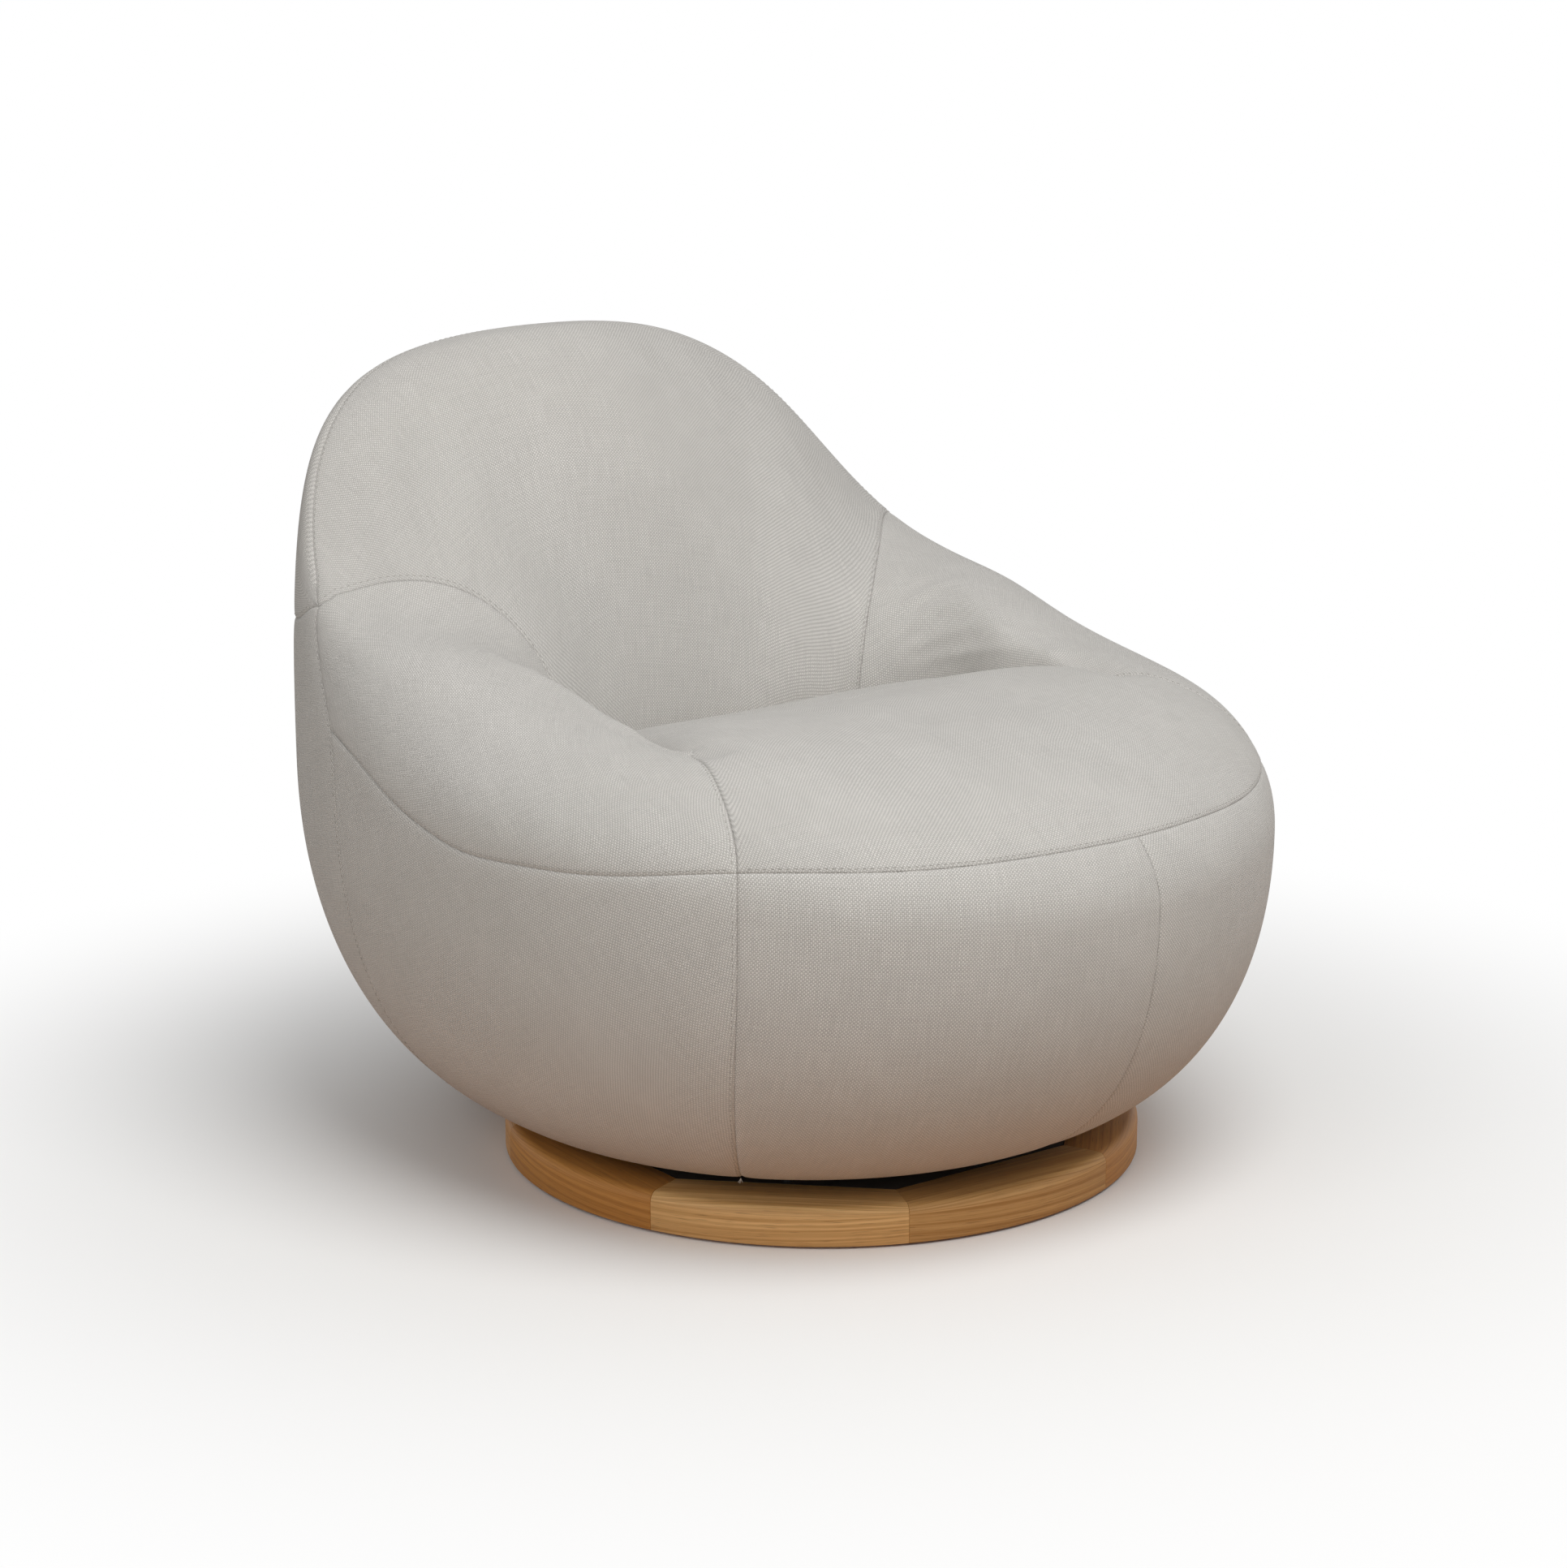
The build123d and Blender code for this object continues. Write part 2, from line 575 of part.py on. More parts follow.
with BuildPart() as hoop_feet:
    with BuildSketch(Plane.XY.offset(DECK_TOP_Z)):
        with Locations((-HOOP_HALF_W, HOOP_FOOT_Y), (HOOP_HALF_W, HOOP_FOOT_Y)):
            RectangleRounded(HOOP_FOOT_L, HOOP_FOOT_W, 6)
        with Locations(*HOOP_SCREW_SPOTS):
            Circle(PLATE_HOLE_R, mode=Mode.SUBTRACT)
    extrude(amount=HOOP_FOOT_T)

with BuildPart(Plane.XY.offset(FOOT_TOP_Z)) as hoop_foot_screws:
    with Locations(*HOOP_SCREW_SPOTS):
        Cylinder(SCREW_R, SCREW_L, align=DOWN)
        Cylinder(SCREW_HEAD_R, SCREW_HEAD_H, align=UP)

# Room for the deck and for the block in the middle, then the tub's wall and its front, as foam and as cover
with BuildPart() as deck_and_core:
    with Locations((0, BODY_Y)):
        Cylinder(CORE_R + CORE_CLEAR, FAR, align=UP)
        Cylinder(DECK_R + DECK_CLEAR, DECK_TOP_Z + DECK_CLEAR, align=UP)

with BuildPart() as wall_foam:
    loft(sections=all_round(FOAM_INSET))
    add(deck_and_core.part, mode=Mode.SUBTRACT)

with BuildPart() as wall_cutter:
    loft(sections=all_round(COVER_T, cutting=True))

with BuildPart() as wall_cover:
    loft(sections=all_round())
    add(wall_cutter.part, mode=Mode.SUBTRACT)

with BuildPart() as front_foam:
    loft(sections=across_front(FOAM_INSET))
    add(deck_and_core.part, mode=Mode.SUBTRACT)

with BuildPart() as front_cutter:
    loft(sections=across_front(COVER_T, cutting=True))

with BuildPart() as front_cover:
    loft(sections=across_front())
    add(front_cutter.part, mode=Mode.SUBTRACT)

# Foam of the sides and of the back
with BuildPart() as left_side_foam:
    add(wall_foam.part)
    extrude(wedge(SEAM_ANGLE - 1, ARM_EDGE_ANGLE), amount=FAR, mode=Mode.INTERSECT)

with BuildPart() as right_side_foam:
    mirror(left_side_foam.part, about=Plane.YZ)

with BuildPart() as back_foam:
    add(wall_foam.part)
    extrude(wedge(BACK_EDGE_ANGLE, 360 - BACK_EDGE_ANGLE), amount=FAR, mode=Mode.INTERSECT)
    add(hoop_channel.part, mode=Mode.SUBTRACT)

# Foam block in the middle, its top cut to the slope of the pad's base
with BuildPart(Plane.XY.offset(DECK_TOP_Z + DECK_CLEAR)) as core_foam:
    with Locations((0, BODY_Y)):
        Cylinder(CORE_R, PAD_BASE_Z - DECK_TOP_Z, align=UP)
    split(
        bisect_by=Plane(
            origin=(0, BODY_Y - PAD_FRONT_R[0], PAD_BASE_Z),
            x_dir=(1, 0, 0),
            z_dir=(0, sin(radians(PAD_TILT[0])), cos(radians(PAD_TILT[0]))),
        ),
        keep=Keep.BOTTOM,
    )

# Seat pad: crowned foam and its cover
LEVELS = range(len(PAD_RISE))

with BuildPart() as seat_foam:
    loft(sections=[pad_outline(k, PAD_FOAM_INSET, 0 if k == 0 else PAD_FOAM_INSET) for k in LEVELS])

with BuildPart() as seat_cutter:
    loft(sections=[pad_outline(k, COVER_T, 0 if k == 0 else COVER_T) for k in LEVELS])

with BuildPart() as seat_cover:
    loft(sections=[pad_outline(k) for k in LEVELS])
    add(seat_cutter.part, mode=Mode.SUBTRACT)

# Cover panels of the wall: arms above the belt, sides below it, and the back in three
with BuildPart() as left_arm_cover:
    add(wall_cover.part)
    extrude(wedge(SEAM_ANGLE - 1, ARM_EDGE_ANGLE), amount=FAR, mode=Mode.INTERSECT)
    add(under_belt_block(SEAM_GAP / 2), mode=Mode.SUBTRACT)

with BuildPart() as left_side_cover:
    add(wall_cover.part)
    extrude(wedge(SEAM_ANGLE - 1, ARM_EDGE_ANGLE), amount=FAR, mode=Mode.INTERSECT)
    add(under_belt_block(-SEAM_GAP / 2), mode=Mode.INTERSECT)

with BuildPart() as right_arm_cover:
    mirror(left_arm_cover.part, about=Plane.YZ)

with BuildPart() as right_side_cover:
    mirror(left_side_cover.part, about=Plane.YZ)

with BuildPart() as rear_skin:
    add(wall_cover.part)
    extrude(wedge(BACK_EDGE_ANGLE, 360 - BACK_EDGE_ANGLE), amount=FAR, mode=Mode.INTERSECT)

with BuildPart() as inner_back_cover:
    add(rear_skin.part)
    extrude(inside_crest(-SEAM_GAP / 2), amount=FAR, mode=Mode.INTERSECT)

with BuildPart() as rear_outside:
    add(rear_skin.part)
    extrude(inside_crest(SEAM_GAP / 2), amount=FAR, mode=Mode.SUBTRACT)

with BuildPart() as outer_back_cover:
    add(rear_outside.part)
    split(bisect_by=Plane.XY.offset(REAR_SEAM_Z + SEAM_GAP / 2), keep=Keep.TOP)

with BuildPart() as rear_lower_cover:
    add(rear_outside.part)
    split(bisect_by=Plane.XY.offset(REAR_SEAM_Z - SEAM_GAP / 2), keep=Keep.BOTTOM)

# Cover panels of the front, joined at the middle
with BuildPart() as left_front_cover:
    add(front_cover.part)
    split(bisect_by=Plane.YZ.offset(SEAM_GAP / 2), keep=Keep.TOP)

with BuildPart() as right_front_cover:
    mirror(left_front_cover.part, about=Plane.YZ)

pieces = {
    "felt_ring": felt_ring.part,
    "segment_tongues": segment_tongues.part,
    "base_board": base_board.part,
    "base_board_screws": base_board_screws.part,
    "swivel_lower_plate": swivel_lower_plate.part,
    "lower_plate_screws": lower_plate_screws.part,
    "bearing_balls": bearing_balls.part,
    "ball_cage": ball_cage.part,
    "swivel_upper_plate": swivel_upper_plate.part,
    "upper_plate_screws": upper_plate_screws.part,
    "pivot_pin": pivot_pin.part,
    "pivot_washer": pivot_washer.part,
    "pivot_nut": pivot_nut.part,
    "seat_deck": seat_deck.part,
    "dust_cloth": dust_cloth.part,
    "back_hoop": back_hoop.part,
    "hoop_feet": hoop_feet.part,
    "hoop_foot_screws": hoop_foot_screws.part,
    "core_foam": core_foam.part,
    "front_foam": front_foam.part,
    "left_side_foam": left_side_foam.part,
    "right_side_foam": right_side_foam.part,
    "back_foam": back_foam.part,
    "seat_foam": seat_foam.part,
    "seat_cover": seat_cover.part,
    "left_arm_cover": left_arm_cover.part,
    "right_arm_cover": right_arm_cover.part,
    "left_side_cover": left_side_cover.part,
    "right_side_cover": right_side_cover.part,
    "inner_back_cover": inner_back_cover.part,
    "outer_back_cover": outer_back_cover.part,
    "rear_lower_cover": rear_lower_cover.part,
    "left_front_cover": left_front_cover.part,
    "right_front_cover": right_front_cover.part,
}
for number, solid in enumerate(segments, start=1):
    pieces[f"ring_segment_{number}"] = solid

for name, solid in pieces.items():
    solid.label = name
    export_step(solid, f"parts/{name}.step")
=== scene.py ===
"""Scene of the swivel lounge chair: sewn hopsack panels over foam, on a ring of oiled oak segments.

The frame is in metres, with the floor at z = 0, the swivel axis at x = y = 0 and the sitter facing -Y.
The cover's form is worked out in millimetres. Angles round the tub are in degrees from the front,
positive towards +X, the sitter's left.
"""

import logging
import math
from dataclasses import dataclass, field
from enum import Enum
from typing import Callable, Sequence

import bpy
import numpy as np
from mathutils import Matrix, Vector


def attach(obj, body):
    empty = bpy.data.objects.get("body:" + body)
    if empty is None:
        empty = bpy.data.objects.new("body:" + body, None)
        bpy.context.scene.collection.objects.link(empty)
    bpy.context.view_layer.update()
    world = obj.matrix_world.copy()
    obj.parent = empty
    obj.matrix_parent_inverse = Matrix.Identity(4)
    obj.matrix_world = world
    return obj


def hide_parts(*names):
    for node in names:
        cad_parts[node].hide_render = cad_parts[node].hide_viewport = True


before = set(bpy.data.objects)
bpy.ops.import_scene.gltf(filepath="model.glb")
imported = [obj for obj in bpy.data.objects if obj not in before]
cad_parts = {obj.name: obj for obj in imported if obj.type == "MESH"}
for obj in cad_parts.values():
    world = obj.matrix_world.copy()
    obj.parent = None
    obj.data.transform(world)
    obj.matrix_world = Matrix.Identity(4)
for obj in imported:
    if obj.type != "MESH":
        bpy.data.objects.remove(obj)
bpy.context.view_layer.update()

LOG = logging.getLogger("lounge_chair")
MM = 0.001
# Longer side of the photograph, to which the lens is given in pixels
IMAGE_SIDE = 1932
Curve = Callable[[np.ndarray], np.ndarray]


class Body(Enum):
    """Bodies of the chair that the scene's pieces ride on."""

    BASE = "base"
    SEAT = "seat"


class Side(Enum):
    """The sitter's two sides."""

    LEFT = 1
    RIGHT = -1

    @property
    def word(self) -> str:
        """Name of the side as the nodes use it."""
        return self.name.lower()


class Edge(Enum):
    """Edges of a panel's grid, in the order in which a panel lists its seams."""

    LOW = 0
    HIGH = 1
    FIRST = 2
    LAST = 3


def linear(hex_code: str) -> tuple[float, float, float, float]:
    """Turns an sRGB hex colour into linear values.

    Args:
        hex_code: Colour such as "C8C2BA".
    Returns:
        Red, green, blue and alpha.
    """
    parts = [int(hex_code[i:i + 2], 16) / 255 for i in (0, 2, 4)]
    lin = [c / 12.92 if c <= 0.04045 else ((c + 0.055) / 1.055) ** 2.4 for c in parts]
    return (lin[0], lin[1], lin[2], 1.0)


def put(
    tree: bpy.types.NodeTree, kind: str, inputs: dict | None = None, **settings: object,
) -> bpy.types.Node:
    """Adds a node with its settings, values and links.

    Args:
        tree: Node tree that gets the node.
        kind: Node type.
        inputs: Values or output sockets by input name or number.
        **settings: Properties of the node.
    Returns:
        The new node.
    """
    node = tree.nodes.new(kind)
    for key, value in settings.items():
        setattr(node, key, value)
    for key, value in (inputs or {}).items():
        if isinstance(value, bpy.types.NodeSocket):
            tree.links.new(value, node.inputs[key])
        else:
            node.inputs[key].default_value = value
    return node


def blank(name: str) -> tuple[bpy.types.Material, bpy.types.NodeTree, bpy.types.Node]:
    """Makes an empty material.

    Args:
        name: Material name.
    Returns:
        The material, its tree and its output node.
    """
    material = bpy.data.materials.new(name)
    material.use_nodes = True
    material.node_tree.nodes.clear()
    out = put(material.node_tree, "ShaderNodeOutputMaterial")
    return material, material.node_tree, out


@dataclass(frozen=True)
class HopsackCloth:
    """Hopsack upholstery cloth of a cotton and polyester yarn, woven in pale and grey threads.

    The eye sees a fine even check of rounded threads, with painted shade in the gaps between them,
    slubs along the threads and a faint bloom of fibre ends at grazing angles.
    """

    name: str = "hopsack_cloth_oatmeal"
    warp: str = "D7D4CF"
    weft: str = "BCB9B4"
    # Painted shade: colour of the shaded gaps between the threads
    gap: str = "8C8883"
    thread_mm: float = 1.6
    thread_height_mm: float = 0.3
    drift_mm: float = 14.545
    cloud_mm: float = 80.0
    # Fibre ends are finer than this; they are drawn as coarse as they need to be to show
    fuzz_mm: float = 0.32

    def material(self) -> bpy.types.Material:
        """Builds the woven material on the panels' weave coordinates.

        Returns:
            The cloth's material.
        """
        material, tree, out = blank(self.name)
        place = put(tree, "ShaderNodeUVMap", uv_map="weave").outputs[0]
        cells = put(
            tree, "ShaderNodeVectorMath", {0: place, "Scale": 1 / (self.thread_mm * MM)}, operation="SCALE"
        )
        drift = put(tree, "ShaderNodeTexNoise", {
            "Vector": cells.outputs[0], "Scale": self.thread_mm / self.drift_mm, "Detail": 2.0,
        }).outputs["Color"]
        sway = put(tree, "ShaderNodeVectorMath", {0: drift, 1: (0.5, 0.5, 0.5)}, operation="SUBTRACT")
        bent = put(
            tree, "ShaderNodeVectorMath", {0: sway.outputs[0], 1: (0.9, 0.9, 0.0), 2: cells.outputs[0]},
            operation="MULTIPLY_ADD",
        ).outputs[0]
        parity = put(tree, "ShaderNodeTexChecker", {"Vector": bent, "Scale": 1.0}).outputs["Fac"]
        axis = put(tree, "ShaderNodeSeparateXYZ", {0: bent})
        rounds = []
        for k in (0, 1):
            turn = put(tree, "ShaderNodeMath", {0: axis.outputs[k], 1: math.pi}, operation="MULTIPLY")
            wave = put(tree, "ShaderNodeMath", {0: turn.outputs[0]}, operation="SINE")
            rounds.append(put(tree, "ShaderNodeMath", {0: wave.outputs[0]}, operation="ABSOLUTE").outputs[0])
        over = []
        for across, along in ((0, 1), (1, 0)):
            dip = put(tree, "ShaderNodeMath", {0: rounds[along], 1: 0.45, 2: 0.55}, operation="MULTIPLY_ADD")
            crown = put(tree, "ShaderNodeMath", {0: rounds[across], 1: dip.outputs[0]}, operation="MULTIPLY")
            over.append(crown.outputs[0])
        height = put(tree, "ShaderNodeMix", {0: parity, 2: over[0], 3: over[1]}, data_type="FLOAT").outputs[0]
        tones = []
        for stretch in ((1.0, 0.05, 1.0), (0.05, 1.0, 1.0)):
            lane = put(tree, "ShaderNodeVectorMath", {0: bent, 1: stretch}, operation="MULTIPLY")
            yarn_tone = put(
                tree, "ShaderNodeTexNoise", {"Vector": lane.outputs[0], "Scale": 1.0, "Detail": 1.0}
            )
            tones.append(yarn_tone.outputs["Fac"])
        slub = put(tree, "ShaderNodeMix", {0: parity, 2: tones[0], 3: tones[1]}, data_type="FLOAT").outputs[0]
        yarn = put(
            tree, "ShaderNodeMix", {0: parity, 6: linear(self.warp), 7: linear(self.weft)}, data_type="RGBA"
        ).outputs[2]
        shade = put(tree, "ShaderNodeMapRange", {0: slub, 1: 0.25, 2: 0.75, 3: 0.9, 4: 1.09}).outputs[0]
        cloud = put(tree, "ShaderNodeTexNoise", {
            "Vector": cells.outputs[0], "Scale": self.thread_mm / self.cloud_mm, "Detail": 3.0,
        }).outputs["Fac"]
        veil = put(tree, "ShaderNodeMapRange", {0: cloud, 1: 0.3, 2: 0.7, 3: 0.97, 4: 1.03}).outputs[0]
        both = put(tree, "ShaderNodeMath", {0: shade, 1: veil}, operation="MULTIPLY").outputs[0]
        toned = put(tree, "ShaderNodeVectorMath", {0: yarn, "Scale": both}, operation="SCALE").outputs[0]
        # Painted shade: the low gaps between the threads are mixed towards the gap colour
        gap_shade_mask = put(tree, "ShaderNodeMapRange", {0: height, 1: 0.05, 2: 0.5, 3: 0.7, 4: 0.0}).outputs[0]
        colour = put(
            tree, "ShaderNodeMix", {0: gap_shade_mask, 6: toned, 7: linear(self.gap)}, data_type="RGBA"
        ).outputs[2]
        fuzz = put(tree, "ShaderNodeTexNoise", {
            "Vector": cells.outputs[0], "Scale": self.thread_mm / self.fuzz_mm, "Detail": 1.0,
        }).outputs["Fac"]
        relief = put(
            tree, "ShaderNodeMath", {0: fuzz, 1: 0.2, 2: height}, operation="MULTIPLY_ADD"
        ).outputs[0]
        bump = put(tree, "ShaderNodeBump", {
            "Height": relief, "Distance": self.thread_height_mm * MM, "Strength": 0.8,
        })
        shader = put(tree, "ShaderNodeBsdfPrincipled", {
            "Base Color": colour, "Normal": bump.outputs[0], "Roughness": 0.92, "IOR": 1.46,
            "Specular IOR Level": 0.25, "Sheen Weight": 0.12, "Sheen Roughness": 0.5,
        })
        tree.links.new(shader.outputs[0], out.inputs[0])
        return material


@dataclass(frozen=True)
class OiledOak:
    """Oak planed and sanded, finished with oil.

    The eye sees long grain in honey and brown, short dark pores and a soft low sheen.
    """

    name: str = "oiled_oak"
    pale: str = "CFA069"
    dark: str = "A6743F"
    pore: str = "6B4826"
    ring_mm: float = 3.5
    grain_mm: float = 420.0
    # Real pores are about a third as wide; at that width they would not show
    pore_mm: float = 0.8
    pore_length_mm: float = 26.0
    pore_depth_mm: float = 0.15

    def material(self) -> bpy.types.Material:
        """Builds the wood on the segments' grain coordinates.

        Returns:
            The wood's material.
        """
        material, tree, out = blank(self.name)
        place = put(tree, "ShaderNodeUVMap", uv_map="grain").outputs[0]
        ring = put(
            tree, "ShaderNodeVectorMath",
            {0: place, 1: (1 / (self.grain_mm * MM), 1 / (self.ring_mm * MM), 1.0)},
            operation="MULTIPLY",
        )
        growth = put(
            tree, "ShaderNodeTexNoise",
            {"Vector": ring.outputs[0], "Scale": 1.0, "Detail": 4.0, "Roughness": 0.6, "Distortion": 0.12},
        ).outputs["Fac"]
        fine = put(
            tree, "ShaderNodeVectorMath",
            {0: place, 1: (1 / (self.pore_length_mm * MM), 1 / (self.pore_mm * MM), 1.0)},
            operation="MULTIPLY",
        ).outputs[0]
        vessel = put(tree, "ShaderNodeTexNoise", {"Vector": fine, "Scale": 1.0, "Detail": 2.0}).outputs["Fac"]
        band = put(tree, "ShaderNodeMapRange", {0: growth, 1: 0.32, 2: 0.68, 3: 0.0, 4: 1.0}).outputs[0]
        heart = put(
            tree, "ShaderNodeMix", {0: band, 6: linear(self.dark), 7: linear(self.pale)}, data_type="RGBA"
        ).outputs[2]
        tone = put(tree, "ShaderNodeAttribute", attribute_name="tone").outputs["Vector"]
        staved = put(tree, "ShaderNodeVectorMath", {0: heart, 1: tone}, operation="MULTIPLY").outputs[0]
        pits = put(tree, "ShaderNodeMapRange", {0: vessel, 1: 0.58, 2: 0.72, 3: 0.0, 4: 0.55}).outputs[0]
        colour = put(
            tree, "ShaderNodeMix", {0: pits, 6: staved, 7: linear(self.pore)}, data_type="RGBA"
        ).outputs[2]
        rough = put(tree, "ShaderNodeMapRange", {0: growth, 1: 0.3, 2: 0.7, 3: 0.5, 4: 0.62}).outputs[0]
        bump = put(tree, "ShaderNodeBump", {
            "Height": vessel, "Distance": self.pore_depth_mm * MM, "Strength": 0.5,
        })
        shader = put(tree, "ShaderNodeBsdfPrincipled", {
            "Base Color": colour, "Roughness": rough, "Normal": bump.outputs[0], "IOR": 1.5,
            "Specular IOR Level": 0.4,
        })
        tree.links.new(shader.outputs[0], out.inputs[0])
        return material


@dataclass(frozen=True)
class PlainFinish:
    """A finish with a fine mottle in its colour and relief, for thread and the pieces under the tub.

    Mottles of plated, moulded and coated surfaces are drawn coarser than they are, so that they show.
    """

    name: str
    light: str
    dark: str
    mottle_mm: float
    roughness: float
    metallic: float = 0.0
    relief_mm: float = 0.05
    stretch: tuple[float, float, float] = (1.0, 1.0, 1.0)

    def material(self) -> bpy.types.Material:
        """Builds the mottled material on object coordinates.

        Returns:
            The finish's material.
        """
        material, tree, out = blank(self.name)
        place = put(tree, "ShaderNodeTexCoord").outputs["Object"]
        scales = tuple(share / (self.mottle_mm * MM) for share in self.stretch)
        scaled = put(tree, "ShaderNodeVectorMath", {0: place, 1: scales}, operation="MULTIPLY").outputs[0]
        grain = put(
            tree, "ShaderNodeTexNoise", {"Vector": scaled, "Scale": 1.0, "Detail": 4.0}
        ).outputs["Fac"]
        band = put(tree, "ShaderNodeMapRange", {0: grain, 1: 0.3, 2: 0.7, 3: 0.0, 4: 1.0}).outputs[0]
        colour = put(
            tree, "ShaderNodeMix", {0: band, 6: linear(self.dark), 7: linear(self.light)}, data_type="RGBA"
        ).outputs[2]
        rough = put(tree, "ShaderNodeMapRange", {
            0: grain, 1: 0.3, 2: 0.7, 3: self.roughness * 0.88, 4: self.roughness,
        }).outputs[0]
        bump = put(tree, "ShaderNodeBump", {
            "Height": grain, "Distance": self.relief_mm * MM, "Strength": 0.6,
        })
        shader = put(tree, "ShaderNodeBsdfPrincipled", {
            "Base Color": colour, "Roughness": rough, "Normal": bump.outputs[0], "Metallic": self.metallic,
        })
        tree.links.new(shader.outputs[0], out.inputs[0])
        return material


class Track:
    """Smooth curve through keyed values, level at both ends and mirrored at 0 and 180."""

    def __init__(self, keys: Sequence[float], values: Sequence[float]) -> None:
        """Solves the slopes at the keys.

        Args:
            keys: Rising places, such as angles.
            values: Value at each place.
        """
        self.keys = np.asarray(keys, float)
        self.values = np.asarray(values, float)
        count = len(self.keys)
        step = np.diff(self.keys)
        rows = np.eye(count)
        right = np.zeros(count)
        for i in range(1, count - 1):
            rows[i, i - 1:i + 2] = (1 / step[i - 1], 2 / step[i - 1] + 2 / step[i], 1 / step[i])
            rise = np.diff(self.values)[i - 1:i + 1] / step[i - 1:i + 1] ** 2
            right[i] = 3 * rise.sum()
        self.slopes = np.linalg.solve(rows, right)

    def __call__(self, place: np.ndarray) -> np.ndarray:
        """Value of the curve at some places.

        Args:
            place: Places on the curve; those beyond its ends get the value at the end.
        Returns:
            Value at each place.
        """
        x = np.abs(np.asarray(place, float))
        x = np.clip(np.where(x > 180, 360 - x, x), self.keys[0], self.keys[-1])
        i = np.clip(np.searchsorted(self.keys, x, side="right") - 1, 0, len(self.keys) - 2)
        h = self.keys[i + 1] - self.keys[i]
        t = (x - self.keys[i]) / h
        near = (2 * t**3 - 3 * t**2 + 1) * self.values[i] + (t**3 - 2 * t**2 + t) * h * self.slopes[i]
        return near + (3 * t**2 - 2 * t**3) * self.values[i + 1] + (t**3 - t**2) * h * self.slopes[i + 1]


# Angles at which the tub's crest and its inner fold are given, closest where the arm rises into the back
ROUND_KEYS = (0, 25, 40, 52.5, 60, 68, 79, 90, 102, 110, 117, 124, 131, 140, 152, 166, 180)
FOLD_KEYS = (58, 63, 70, 79, 90, 115, 140, 180)


